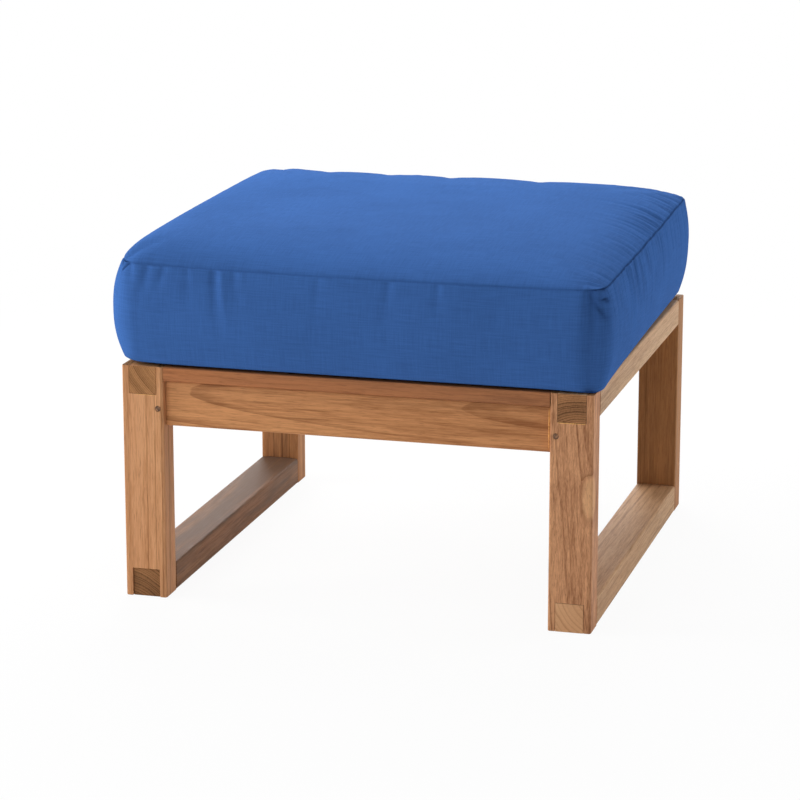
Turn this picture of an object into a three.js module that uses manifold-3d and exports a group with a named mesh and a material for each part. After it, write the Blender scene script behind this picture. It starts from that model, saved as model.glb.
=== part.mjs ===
import * as THREE from 'three';
import { mergeVertices } from 'three/addons/utils/BufferGeometryUtils.js';
import Module from 'manifold-3d';

// An outdoor ottoman footstool: a teak frame of two sled-shaped side frames, joined by
// aprons and a slatted seat, and a boxed cushion that lifts off it.
// Sizes are in millimetres. +X points right, +Y to the back and +Z up. The origin lies
// on the floor, under the middle of the frame. The front faces -Y.

// Whole frame
const frameWidth = 611;
const frameDepth = 607;
const frameHeight = 305;
const jointGap = 0.3;
const cutOverrun = 4;

// Side frames
const postWidth = 55;
const postDepth = 38;
const topRailHeight = 36;
const bottomRailHeight = 37;
const railTenonThickness = 36;
const edgeRound = 3;
const roundSteps = 3;

// Aprons and the pegs that pin their tenons
const apronHeight = 60;
const apronThickness = 20;
const apronSetback = 10;
const apronEdgeRound = 4;
const apronTenonLength = 26;
const apronTenonThickness = 10;
const apronTenonHeight = 28;
const apronTenonRise = 10;
const pegDiameter = 7;
const pegLength = 26;
const pegInset = 7.5;
const pegSides = 16;

// Seat
const slatThickness = 18;
const slatWidth = 70;
const leastSlatGap = 14;
const slatEdgeRound = 2;
const cleatWidth = 20;
const bearerWidth = 45;
const bearerHeight = 22;
const bearerTenonLength = 8;
const bearerTenonWidth = 30;
const bearerTenonHeight = 12;

// Screws
const screwHeadRadius = 4;
const screwHeadHeight = 3;
const screwShankRadius = 2;
const screwTipLength = 4;
const slatScrewLength = 30;
const cleatScrewLength = 40;
const screwSides = 12;

// Cushion
const cushionSideOverhang = 2.5;
const cushionEndOverhang = 4.5;
const cushionSetback = 5;
const boxingHeight = 127;
const bottomSeamRise = 4;
const crownHeight = 23;
const sideBulge = 16;
const sideBow = 4.5;
const seamSag = 4.5;
const cornerShift = 10;
const cornerRadius = 27;
const coverThickness = 1.2;
const cornerBulgeLossShare = 0.05;
const bulgePower = 2.4;
const crownFullness = 0.73;
const crownRoundShare = 0.5;
const sagPower = 8;
const cornerLiftPower = 8;
const cornerSteps = 3;
const sideSteps = 7;
const crownRingShares = [1, 0.98, 0.94, 0.87, 0.74, 0.5];
const underRingShares = [1, 0.97, 0.6];
const boxingLevelShares = [0, 0.1, 0.3, 0.7, 0.9, 1];
const underCurvePower = 24;

// A used cushion's sides and corners differ. Each side's boxing bulges by its share of the
// bulge, its seam bows out by its share of the bow and sags by its share of the sag, and
// the crown falls off towards it with its own power.
const bulgeShares = { right: 0.6, rear: 0.3, left: 1, front: 0.6 };
const bowShares = { right: -0.55, rear: -1, left: 0.35, front: 0.45 };
const sagShares = { right: 1, rear: 0, left: 0, front: 0.7 };
const crownPowers = { right: 7, rear: 9.5, left: 20, front: 4 };

// Shares of the corner shift: to the right, to the back and up
const upperCornerShares = {
  frontRight: [0.65, -0.1, -0.1],
  rearRight: [-0.25, 0.1, 0.8],
  rearLeft: [-0.65, 0.2, 0.9],
  frontLeft: [0, -0.1, 0.2],
};
const lowerCornerShares = {
  frontRight: [0.5, 0.15, 0],
  rearRight: [-1, 0.1, 0.15],
  rearLeft: [0, 0.1, 0.2],
  frontLeft: [-0.05, 0.15, 0.25],
};

// Zipper in the rear boxing
const zipperEndMargin = 58;
const tapeWidth = 13;
const tapeThickness = 0.8;
const coilWidth = 5;
const coilThickness = 2.4;
const stopLength = 4;
const stopProud = 3;
const sliderLength = 13;
const sliderWidth = 9;
const sliderPlate = 1.2;
const slotMargin = 1;
const bailLegLength = 1.4;
const bailPinRadius = 0.8;
const pullEyeRadius = 1.8;
const pullLength = 24;
const pullWidth = 7;
const pullThickness = 1.2;
const pullBoreGap = 0.2;
const pinSides = 12;

// Colours
const postColor = 0xbf8d66;
const railColor = 0xb9936f;
const apronColor = 0xb07a50;
const slatColor = 0xb4855c;
const cleatColor = 0x9c7350;
const pegColor = 0x8a6444;
const fabricColor = 0x3a66a8;
const tapeColor = 0x33579a;
const coilColor = 0x2c4877;
const foamColor = 0xe9e4d2;
const fibreColor = 0xf4f4f0;
const steelColor = 0xb8babc;

// Levels and places shared by several pieces
const innerSpan = frameWidth - 2 * postWidth;
const railSpan = frameDepth - 2 * postDepth;
const apronSpan = frameDepth - 2 * (apronSetback + apronThickness);
const slatTop = frameHeight;
const slatUnderside = slatTop - slatThickness;
const apronTop = slatUnderside - jointGap;
const apronBottom = apronTop - apronHeight;
const apronTenonMiddle = apronBottom + apronTenonRise + apronTenonHeight / 2;
const apronPlace = frameDepth / 2 - apronSetback - apronThickness / 2;
const postPlaceX = frameWidth / 2 - postWidth / 2;
const postPlaceY = frameDepth / 2 - postDepth / 2;
const cleatTop = slatUnderside - jointGap;
const cleatHeight = cleatTop - (frameHeight - topRailHeight);
const cleatMiddle = cleatTop - cleatHeight / 2;
const cleatPlace = innerSpan / 2 - jointGap - cleatWidth / 2;
const topRailMiddle = frameHeight - topRailHeight / 2;
const bearerMiddle = slatUnderside - jointGap - bearerHeight / 2;
const slatCount = Math.floor((frameDepth + leastSlatGap) / (slatWidth + leastSlatGap));
const slatPitch = (frameDepth - slatWidth) / (slatCount - 1);
const slatPlace = (index) => (slatWidth - frameDepth) / 2 + index * slatPitch;
const cleatScrewPlaces = [1, slatCount - 3].map((index) => slatPlace(index) + slatPitch / 2);
const cushionRest = slatTop + jointGap;
const bottomSeam = cushionRest + bottomSeamRise;
const topSeam = bottomSeam + boxingHeight;
const cushionWidth = frameWidth + 2 * cushionSideOverhang;
const cushionDepth = frameDepth + 2 * cushionEndOverhang;
const zipperLength = cushionWidth - 2 * zipperEndMargin;
const bulgeLevelShare = (levelShare) => 1 - Math.abs(2 * levelShare - 1) ** bulgePower;
const cornerSigns = { frontRight: [1, -1], rearRight: [1, 1], rearLeft: [-1, 1], frontLeft: [-1, -1] };

// How far the corners carry a point of the cushion. It lies across the seat at a and along
// it at b, each from -1 to 1.
function cornerPull(shares, a, b) {
  const pull = new THREE.Vector3();
  for (const [corner, [signA, signB]] of Object.entries(cornerSigns)) {
    const weight = (1 + signA * a) * (1 + signB * b) / 4;
    pull.addScaledVector(new THREE.Vector3(...shares[corner]), weight * cornerShift);
  }
  return pull;
}

// The zipper lies against the flat middle band of the rear boxing.
const rearPull = cornerPull(upperCornerShares, 0, 1);
const zipperMiddle = (bottomSeam + topSeam + rearPull.z) / 2;
const boxingFace = cushionDepth / 2 + cushionSetback + bowShares.rear * sideBow
  + bulgeShares.rear * sideBulge * bulgeLevelShare(boxingLevelShares[2])
  + cornerPull(lowerCornerShares, 0, 1).y;
const tapeFace = boxingFace - coverThickness - jointGap;
const coilFace = tapeFace + jointGap + coilThickness;
const plateFace = coilFace + jointGap + sliderPlate;
const bailPlace = plateFace + jointGap + pullEyeRadius;
const stopPlace = zipperLength / 2 - jointGap - stopLength / 2;
const coilLength = zipperLength - 2 * (stopLength + 2 * jointGap);
const sliderPlace = coilLength / 2 - sliderLength / 2;

const wasm = await Module();
wasm.setup();

// Closed solids

function mergedMesh(geometry) {
  const bare = geometry.clone();
  bare.deleteAttribute('normal');
  bare.deleteAttribute('uv');
  const merged = mergeVertices(bare);
  const corners = merged.index.array;
  const kept = [];
  for (let i = 0; i < corners.length; i += 3) {
    const [a, b, c] = [corners[i], corners[i + 1], corners[i + 2]];
    if (a !== b && b !== c && c !== a) kept.push(a, b, c);
  }
  merged.setIndex(kept);
  return merged;
}

function solidOf(geometry) {
  const merged = mergedMesh(geometry);
  const vertProperties = Float32Array.from(merged.attributes.position.array);
  const triVerts = Uint32Array.from(merged.index.array);
  return new wasm.Manifold(new wasm.Mesh({ numProp: 3, vertProperties, triVerts }));
}

function geometryOf(solid) {
  const mesh = solid.getMesh();
  const geometry = new THREE.BufferGeometry();
  geometry.setAttribute('position', new THREE.BufferAttribute(Float32Array.from(mesh.vertProperties), 3));
  geometry.setIndex(Array.from(mesh.triVerts));
  return geometry;
}

function box(sizeX, sizeY, sizeZ, x, y, z) {
  return solidOf(new THREE.BoxGeometry(sizeX, sizeY, sizeZ).translate(x, y, z));
}

// These turn a bar that was drawn along Z, so that it lies along X or Y with its second
// cross size upright.
const alongX = new THREE.Matrix4().makeBasis(
  new THREE.Vector3(0, 1, 0), new THREE.Vector3(0, 0, 1), new THREE.Vector3(1, 0, 0));
const alongY = new THREE.Matrix4().makeBasis(
  new THREE.Vector3(1, 0, 0), new THREE.Vector3(0, 0, 1), new THREE.Vector3(0, -1, 0));
const alongZ = new THREE.Matrix4();

function roundedOutline(width, height, round) {
  const r = Math.min(round, width / 2 - jointGap, height / 2 - jointGap);
  const [x, y] = [width / 2, height / 2];
  const outline = new THREE.Shape();
  outline.moveTo(x, -y + r);
  outline.lineTo(x, y - r);
  outline.absarc(x - r, y - r, r, 0, Math.PI / 2);
  outline.lineTo(-x + r, y);
  outline.absarc(-x + r, y - r, r, Math.PI / 2, Math.PI);
  outline.lineTo(-x, -y + r);
  outline.absarc(-x + r, -y + r, r, Math.PI, 1.5 * Math.PI);
  outline.lineTo(x - r, -y);
  outline.absarc(x - r, -y + r, r, 1.5 * Math.PI, 2 * Math.PI);
  return outline;
}

// A bar with its four long edges rounded. Its cross sizes are given level side first.
function easedBar(direction, run, across, upright, round) {
  const settings = { depth: run, bevelEnabled: false, curveSegments: roundSteps };
  const geometry = new THREE.ExtrudeGeometry(roundedOutline(across, upright, round), settings);
  geometry.translate(0, 0, -run / 2).applyMatrix4(direction);
  return solidOf(geometry);
}

function pin(direction, radius, run, sides, x, y, z) {
  const geometry = new THREE.CylinderGeometry(radius, radius, run, sides);
  geometry.rotateX(Math.PI / 2).applyMatrix4(direction).translate(x, y, z);
  return solidOf(geometry);
}

// A countersunk screw with its head's face at z = 0 and its tip towards -Z. Its hole has
// the gap all round and runs on above the head.
function screwGeometry(length, gap, overrun) {
  const shank = screwShankRadius + gap;
  const head = screwHeadRadius + gap;
  const profile = [
    new THREE.Vector2(0, -length - gap),
    new THREE.Vector2(shank, -length + screwTipLength - gap),
    new THREE.Vector2(shank, -screwHeadHeight - gap),
    new THREE.Vector2(head, -gap),
    new THREE.Vector2(head, overrun),
    new THREE.Vector2(0, overrun),
  ];
  return new THREE.LatheGeometry(profile, screwSides).rotateX(Math.PI / 2);
}

function slatScrewHole(x, y, z, overrun) {
  return solidOf(screwGeometry(slatScrewLength, jointGap, overrun).translate(x, y, z));
}

// A cleat's screw lies level, with its head towards the middle of the seat.
function cleatScrewGeometry(inward, gap, overrun) {
  return screwGeometry(cleatScrewLength, gap, overrun).rotateY(inward * Math.PI / 2);
}

const object = new THREE.Group();
const frame = new THREE.Group();
const cushion = new THREE.Group();
object.add(frame, cushion);

function addPiece(group, name, solidOrGeometry, look, x, y, z) {
  const geometry = solidOrGeometry.isBufferGeometry ? solidOrGeometry : geometryOf(solidOrGeometry);
  geometry.computeVertexNormals();
  const piece = new THREE.Mesh(geometry, new THREE.MeshStandardMaterial(look));
  piece.name = name;
  piece.position.set(x, y, z);
  group.add(piece);
  return piece;
}

const wood = (color) => ({ color, roughness: 0.62, metalness: 0, flatShading: true });
const cloth = (color) => ({ color, roughness: 0.95, metalness: 0 });
const steel = { color: steelColor, roughness: 0.35, metalness: 1, flatShading: true };

// Side frames

// Slots through the post's ends take the rails' tenons, and a mortise in its inner face
// takes the apron's. inward is the X direction of that face, outward the Y direction of
// the face that the peg enters.
function postSolid(inward, outward) {
  const slotWidth = railTenonThickness + 2 * jointGap;
  const slotRun = postDepth + 2 * cutOverrun;
  const topCut = topRailHeight + jointGap + cutOverrun;
  const bottomCut = bottomRailHeight + jointGap + cutOverrun;
  const mortiseRun = apronTenonLength + jointGap + cutOverrun;
  const mortiseX = inward * (postWidth / 2 + cutOverrun - mortiseRun / 2);
  const mortiseY = outward * (postDepth / 2 - apronSetback - apronThickness / 2);
  const pegRun = pegLength + jointGap + cutOverrun;
  const tenonZ = apronTenonMiddle - frameHeight / 2;
  return easedBar(alongZ, frameHeight, postWidth, postDepth, edgeRound)
    .subtract(box(slotWidth, slotRun, topCut, 0, 0, frameHeight / 2 + cutOverrun - topCut / 2))
    .subtract(box(slotWidth, slotRun, bottomCut, 0, 0, -frameHeight / 2 - cutOverrun + bottomCut / 2))
    .subtract(box(mortiseRun, apronTenonThickness + 2 * jointGap, apronTenonHeight + 2 * jointGap,
      mortiseX, mortiseY, tenonZ))
    .subtract(pin(alongY, pegDiameter / 2 + jointGap, pegRun, pegSides,
      inward * (postWidth / 2 - pegInset), outward * (postDepth / 2 + cutOverrun - pegRun / 2), tenonZ));
}

function railSolid(height) {
  return easedBar(alongY, railSpan - 2 * jointGap, postWidth, height, edgeRound)
    .add(box(railTenonThickness, frameDepth, height, 0, 0, 0));
}

function topRailSolid(side) {
  let rail = railSolid(topRailHeight);
  const headX = side * (cleatPlace - cleatWidth / 2 - postPlaceX);
  for (const place of cleatScrewPlaces) {
    rail = rail.subtract(solidOf(cleatScrewGeometry(-side, jointGap, 0)
      .translate(headX, place, cleatMiddle - topRailMiddle)));
  }
  return rail;
}

function addSideFrame(side, sideName) {
  for (const [endName, outward] of [['front', -1], ['rear', 1]]) {
    addPiece(frame, `${sideName}_${endName}_post`, postSolid(-side, outward), wood(postColor),
      side * postPlaceX, outward * postPlaceY, frameHeight / 2);
    addPiece(frame, `${sideName}_${endName}_peg`, pin(alongY, pegDiameter / 2, pegLength, pegSides, 0, 0, 0),
      wood(pegColor), side * (innerSpan / 2 + pegInset), outward * (frameDepth / 2 - pegLength / 2),
      apronTenonMiddle);
  }
  addPiece(frame, `${sideName}_top_rail`, topRailSolid(side), wood(railColor),
    side * postPlaceX, 0, topRailMiddle);
  addPiece(frame, `${sideName}_bottom_rail`, railSolid(bottomRailHeight), wood(railColor),
    side * postPlaceX, 0, bottomRailHeight / 2);
}

// Aprons, with a tenon and a peg hole at each end and a mortise for the seat's bearer

function apronSolid(outward) {
  const middle = apronBottom + apronHeight / 2;
  const tenonZ = apronTenonMiddle - middle;
  const mortiseRun = bearerTenonLength + jointGap + cutOverrun;
  const mortiseY = -outward * (apronThickness / 2 + cutOverrun - mortiseRun / 2);
  let apron = easedBar(alongX, innerSpan - 2 * jointGap, apronThickness, apronHeight, apronEdgeRound)
    .add(box(innerSpan + 2 * apronTenonLength, apronTenonThickness, apronTenonHeight, 0, 0, tenonZ))
    .subtract(box(bearerTenonWidth + 2 * jointGap, mortiseRun, bearerTenonHeight + 2 * jointGap,
      0, mortiseY, bearerMiddle - middle));
  for (const side of [-1, 1]) {
    apron = apron
      .subtract(pin(alongY, pegDiameter / 2 + jointGap, apronThickness + 2 * cutOverrun, pegSides,
        side * (innerSpan / 2 + pegInset), 0, tenonZ))
      .subtract(slatScrewHole(side * cleatPlace, 0, slatTop - middle, 0));
  }
  return apron;
}

function addAprons() {
  for (const [name, outward] of [['front_apron', -1], ['rear_apron', 1]]) {
    addPiece(frame, name, apronSolid(outward), wood(apronColor),
      0, outward * apronPlace, apronBottom + apronHeight / 2);
  }
}

// Seat: a cleat on each side frame, a bearer between the aprons, and slats across them

function bearerSolid() {
  return easedBar(alongY, apronSpan - 2 * jointGap, bearerWidth, bearerHeight, slatEdgeRound)
    .add(box(bearerTenonWidth, apronSpan + 2 * bearerTenonLength, bearerTenonHeight, 0, 0, 0));
}

function cleatSolid(inward) {
  let cleat = easedBar(alongY, apronSpan - 2 * jointGap, cleatWidth, cleatHeight, slatEdgeRound);
  for (let index = 1; index < slatCount - 1; index += 1) {
    cleat = cleat.subtract(slatScrewHole(0, slatPlace(index), slatTop - cleatMiddle, 0));
  }
  for (const place of cleatScrewPlaces) {
    cleat = cleat.subtract(solidOf(cleatScrewGeometry(inward, jointGap, cutOverrun)
      .translate(inward * cleatWidth / 2, place, 0)));
  }
  return cleat;
}

function addCleat(side, sideName) {
  addPiece(frame, `${sideName}_slat_cleat`, cleatSolid(-side), wood(cleatColor),
    side * cleatPlace, 0, cleatMiddle);
  cleatScrewPlaces.forEach((place, index) => {
    addPiece(frame, `${sideName}_cleat_screw_${index + 1}`,
      mergedMesh(cleatScrewGeometry(-side, 0, 0)), steel,
      side * (cleatPlace - cleatWidth / 2), place, cleatMiddle);
  });
}

// The end slats are screwed to the aprons under them, and the others to the cleats.
function slatScrewPlace(index) {
  if (index === 0) return -apronPlace;
  if (index === slatCount - 1) return apronPlace;
  return slatPlace(index);
}

function slatSolid(index) {
  let slat = easedBar(alongX, innerSpan - 2 * jointGap, slatWidth, slatThickness, slatEdgeRound);
  for (const side of [-1, 1]) {
    slat = slat.subtract(slatScrewHole(side * cleatPlace, slatScrewPlace(index) - slatPlace(index),
      slatThickness / 2, cutOverrun));
  }
  return slat;
}

function addSlat(index) {
  const name = `seat_slat_${index + 1}`;
  addPiece(frame, name, slatSolid(index), wood(slatColor),
    0, slatPlace(index), slatTop - slatThickness / 2);
  for (const [sideName, side] of [['left', -1], ['right', 1]]) {
    addPiece(frame, `${name}_${sideName}_screw`, mergedMesh(screwGeometry(slatScrewLength, 0, 0)), steel,
      side * cleatPlace, slatScrewPlace(index), slatTop);
  }
}

// Cushion

// A value for the sides that a direction faces: that to the left or right, then that to
// the front or rear
const facedSides = (values, nx, ny) => [nx > 0 ? values.right : values.left,
  ny > 0 ? values.rear : values.front];

// The cushion's plan at a seam, counterclockwise from the front right corner. Each point
// carries its outward direction, and its places a and b on a square. The sides bow out or
// draw in between the corners.
function seamOutline(inset) {
  const [halfWidth, halfDepth] = [cushionWidth / 2 - inset, cushionDepth / 2 - inset];
  const round = cornerRadius - inset;
  const corners = Object.values(cornerSigns);
  const points = [];
  const add = (x, y, nx, ny) => {
    const [acrossShare, alongShare] = facedSides(bowShares, nx, ny);
    const reach = Math.max(Math.abs(x / halfWidth), Math.abs(y / halfDepth));
    points.push({
      x: x + nx * acrossShare * sideBow * (1 - (y / halfDepth) ** 2),
      y: y + ny * alongShare * sideBow * (1 - (x / halfWidth) ** 2),
      nx,
      ny,
      a: x / halfWidth / reach,
      b: y / halfDepth / reach,
    });
  };
  corners.forEach(([signX, signY], corner) => {
    const [centreX, centreY] = [signX * (halfWidth - round), signY * (halfDepth - round)];
    for (let step = 0; step <= cornerSteps; step += 1) {
      const angle = (corner - 1 + step / cornerSteps) * Math.PI / 2;
      const [nx, ny] = [Math.cos(angle), Math.sin(angle)];
      add(centreX + round * nx, centreY + round * ny, nx, ny);
    }
    const [nextX, nextY] = corners[(corner + 1) % corners.length];
    const sideAngle = corner * Math.PI / 2;
    const [nx, ny] = [Math.cos(sideAngle), Math.sin(sideAngle)];
    const start = [centreX + round * nx, centreY + round * ny];
    const end = [nextX * (halfWidth - round) + round * nx, nextY * (halfDepth - round) + round * ny];
    for (let step = 1; step < sideSteps; step += 1) {
      const share = step / sideSteps;
      add(start[0] + (end[0] - start[0]) * share, start[1] + (end[1] - start[1]) * share, nx, ny);
    }
  });
  return points;
}

// How far the upper seam's plane is pulled at a and b: up by the corners, and down where a
// side sags
function upperPull(a, b) {
  const pull = cornerPull(upperCornerShares, a, b);
  const [acrossShare, alongShare] = facedSides(sagShares, a, b);
  pull.z -= seamSag * (acrossShare * Math.abs(a) ** sagPower * (1 - b ** 2)
    + alongShare * Math.abs(b) ** sagPower * (1 - a ** 2));
  return pull;
}

// The lower seam only lifts near the corners.
function lowerPull(a, b) {
  const pull = cornerPull(lowerCornerShares, a, b);
  pull.z *= Math.abs(a * b) ** cornerLiftPower;
  return pull;
}

// The boxing bulges between its seams, less so at the corners.
function boxingRing(inset, levelShare) {
  const height = boxingHeight - jointGap;
  return seamOutline(inset).map(({ x, y, nx, ny, a, b }) => {
    const [acrossShare, alongShare] = facedSides(bulgeShares, nx, ny);
    const facing = Math.abs(nx) / (Math.abs(nx) + Math.abs(ny));
    const reach = sideBulge * (acrossShare * facing + alongShare * (1 - facing))
      * bulgeLevelShare(levelShare) * (1 - cornerBulgeLossShare * Math.abs(2 * nx * ny));
    return new THREE.Vector3(x + nx * reach, y + ny * reach + cushionSetback,
      bottomSeam + jointGap / 2 + height * levelShare)
      .addScaledVector(upperPull(a, b), levelShare)
      .addScaledVector(lowerPull(a, b), 1 - levelShare);
  });
}

// A ring of a panel, at a share of the way from its middle to its seam. Rings turn
// rounder towards the middle.
function panelRing(inset, share, heightAt, pullAt) {
  const [halfWidth, halfDepth] = [cushionWidth / 2 - inset, cushionDepth / 2 - inset];
  const roundness = (1 - share) * crownRoundShare;
  return seamOutline(inset).map(({ x, y, a, b }) => {
    const angle = Math.atan2(y / halfDepth, x / halfWidth);
    const roundX = halfWidth * Math.cos(angle);
    const roundY = halfDepth * Math.sin(angle);
    return new THREE.Vector3(share * (x + (roundX - x) * roundness),
      share * (y + (roundY - y) * roundness) + cushionSetback, heightAt(share * a, share * b))
      .add(pullAt(share * a, share * b));
  });
}

// Faces between rings that are listed from the outside's top downwards. A single point
// closes a ring to a tip. Each four-cornered face is split the same way whether its rings
// rise or fall, so that an inner wall lies parallel to the outer one.
function loft(rings, closesOnItself) {
  const positions = [];
  const face = (...points) => points.forEach(({ x, y, z }) => positions.push(x, y, z));
  const pairs = rings.slice(1).map((next, index) => [rings[index], next]);
  if (closesOnItself) pairs.push([rings[rings.length - 1], rings[0]]);
  for (const [first, second] of pairs) {
    const count = (Array.isArray(first) ? first : second).length;
    for (let i = 0; i < count; i += 1) {
      const j = (i + 1) % count;
      if (!Array.isArray(first)) {
        face(first, second[i], second[j]);
      } else if (!Array.isArray(second)) {
        face(first[i], second, first[j]);
      } else if (first[0].z < second[0].z) {
        face(first[i], second[i], first[j]);
        face(second[i], second[j], first[j]);
      } else {
        face(first[i], second[i], second[j]);
        face(first[i], second[j], first[j]);
      }
    }
  }
  const geometry = new THREE.BufferGeometry();
  geometry.setAttribute('position', new THREE.Float32BufferAttribute(positions, 3));
  return mergedMesh(geometry);
}

// The crown's share of its full height at a and b
function domeShare(a, b) {
  const [acrossPower, alongPower] = facedSides(crownPowers, a, b);
  return ((1 - Math.abs(a) ** acrossPower) * (1 - Math.abs(b) ** alongPower)) ** crownFullness;
}

// Rings from the seam inwards, on a crown of this rise above the rim.
function crownRings(inset, rim, rise) {
  return crownRingShares.map((share) => panelRing(inset, share,
    (a, b) => rim + rise * domeShare(a, b), upperPull));
}

// Rings from the seam inwards, down to a flat floor that lies this rise below the rim.
function underRings(inset, floor, rise) {
  return underRingShares.map((share) => panelRing(inset, share,
    () => floor + rise * share ** underCurvePower, lowerPull));
}

const upperTip = (z) => new THREE.Vector3(0, cushionSetback, z).add(upperPull(0, 0));
const lowerTip = (z) => new THREE.Vector3(0, cushionSetback, z).add(lowerPull(0, 0));

function topPanel() {
  const rim = topSeam + jointGap / 2;
  const innerRise = crownHeight - coverThickness;
  return loft([upperTip(rim + crownHeight), ...crownRings(0, rim, crownHeight).reverse(),
    ...crownRings(coverThickness, rim, innerRise), upperTip(rim + innerRise)], false);
}

function bottomPanel() {
  const rise = bottomSeam - jointGap / 2 - cushionRest;
  const innerFloor = cushionRest + coverThickness;
  return loft([lowerTip(innerFloor), ...underRings(coverThickness, innerFloor, rise - coverThickness).reverse(),
    ...underRings(0, cushionRest, rise), lowerTip(cushionRest)], false);
}

function boxingSolid() {
  const outerRings = boxingLevelShares.map((share) => boxingRing(0, 1 - share));
  const innerRings = boxingLevelShares.map((share) => boxingRing(coverThickness, share));
  const wall = solidOf(loft([...outerRings, ...innerRings], true));
  return wall.subtract(box(zipperLength, cushionDepth, sliderWidth + 2 * slotMargin,
    0, cushionDepth / 2, zipperMiddle));
}

// The foam fills the boxing and the bottom panel, with a pocket behind the zipper's tapes.
function foamSolid() {
  const inset = coverThickness + jointGap;
  const floor = cushionRest + inset;
  const rise = bottomSeam - jointGap / 2 - cushionRest - inset;
  const sideRings = boxingLevelShares.map((share) => boxingRing(inset, 1 - share));
  const foam = solidOf(loft([upperTip(topSeam - jointGap / 2), ...sideRings,
    ...underRings(inset, floor, rise).slice(1), lowerTip(floor)], false));
  const pocketFloor = tapeFace - tapeThickness - jointGap;
  return foam.subtract(box(zipperLength + 2 * jointGap, cushionDepth, 2 * tapeWidth + 2 * jointGap,
    0, pocketFloor + cushionDepth / 2, zipperMiddle));
}

function fibrePad() {
  const inset = coverThickness + jointGap;
  const base = topSeam + jointGap / 2;
  const rise = crownHeight - coverThickness - jointGap;
  return loft([upperTip(base + rise), ...crownRings(inset, base, rise).reverse(), upperTip(base)], false);
}

// Zipper: two tapes behind the boxing's slot, a coil on them and a slider that rides it

function addZipper() {
  for (const [name, up] of [['zipper_upper_tape', 1], ['zipper_lower_tape', -1]]) {
    addPiece(cushion, name, box(zipperLength, tapeThickness, tapeWidth - jointGap / 2, 0, 0, 0),
      cloth(tapeColor), 0, tapeFace - tapeThickness / 2, zipperMiddle + up * (tapeWidth + jointGap / 2) / 2);
  }
  addPiece(cushion, 'zipper_coil', box(coilLength, coilThickness, coilWidth, 0, 0, 0), cloth(coilColor),
    0, coilFace - coilThickness / 2, zipperMiddle);
  for (const [name, side] of [['zipper_closed_end_stop', 1], ['zipper_open_end_stop', -1]]) {
    addPiece(cushion, name, box(stopLength, stopProud, coilWidth, 0, 0, 0), cloth(coilColor),
      side * stopPlace, tapeFace + jointGap + stopProud / 2, zipperMiddle);
  }
}

// The slider is a channel over the coil, with a bail that carries the pull's eye.
function sliderSolid() {
  const low = tapeFace + jointGap;
  const channel = coilWidth + 2 * jointGap;
  const legRun = bailPlace + bailPinRadius - plateFace + jointGap;
  let slider = box(sliderLength, plateFace - low, sliderWidth, 0, (plateFace + low) / 2 - bailPlace, 0)
    .subtract(box(sliderLength + 2 * cutOverrun, plateFace - sliderPlate - low + cutOverrun, channel,
      0, (plateFace - sliderPlate + low - cutOverrun) / 2 - bailPlace, 0))
    .add(pin(alongX, bailPinRadius, sliderLength - bailLegLength, pinSides, 0, 0, 0));
  for (const side of [-1, 1]) {
    slider = slider.add(box(bailLegLength, legRun, 2 * bailPinRadius + 2 * jointGap,
      side * (sliderLength - bailLegLength) / 2, bailPinRadius - legRun / 2, 0));
  }
  return slider;
}

function pullSolid() {
  const eyeRun = sliderLength - 2 * bailLegLength - 2 * jointGap;
  return pin(alongX, pullEyeRadius, eyeRun, pinSides, 0, 0, 0)
    .add(box(pullWidth, pullThickness, pullLength, 0, 0, -pullLength / 2))
    .subtract(pin(alongX, bailPinRadius + pullBoreGap, eyeRun + 2 * cutOverrun, pinSides, 0, 0, 0));
}

function addSliderAndPull() {
  addPiece(cushion, 'zipper_slider', sliderSolid(), steel, sliderPlace, bailPlace, zipperMiddle);
  addPiece(cushion, 'zipper_pull', pullSolid(), steel, sliderPlace, bailPlace, zipperMiddle);
}

function addCushion() {
  addPiece(cushion, 'cover_top_panel', topPanel(), cloth(fabricColor), 0, 0, 0);
  addPiece(cushion, 'cover_boxing', boxingSolid(), cloth(fabricColor), 0, 0, 0);
  addPiece(cushion, 'cover_bottom_panel', bottomPanel(), cloth(fabricColor), 0, 0, 0);
  addPiece(cushion, 'foam_core', foamSolid(), cloth(foamColor), 0, 0, 0);
  addPiece(cushion, 'fibre_pad', fibrePad(), cloth(fibreColor), 0, 0, 0);
  addZipper();
  addSliderAndPull();
}

for (const [sideName, side] of [['left', -1], ['right', 1]]) {
  addSideFrame(side, sideName);
  addCleat(side, sideName);
}
addAprons();
addPiece(frame, 'seat_bearer', bearerSolid(), wood(cleatColor), 0, 0, bearerMiddle);
for (let index = 0; index < slatCount; index += 1) {
  addSlat(index);
}
addCushion();

export default object;
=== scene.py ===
import math
from collections import namedtuple

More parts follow.
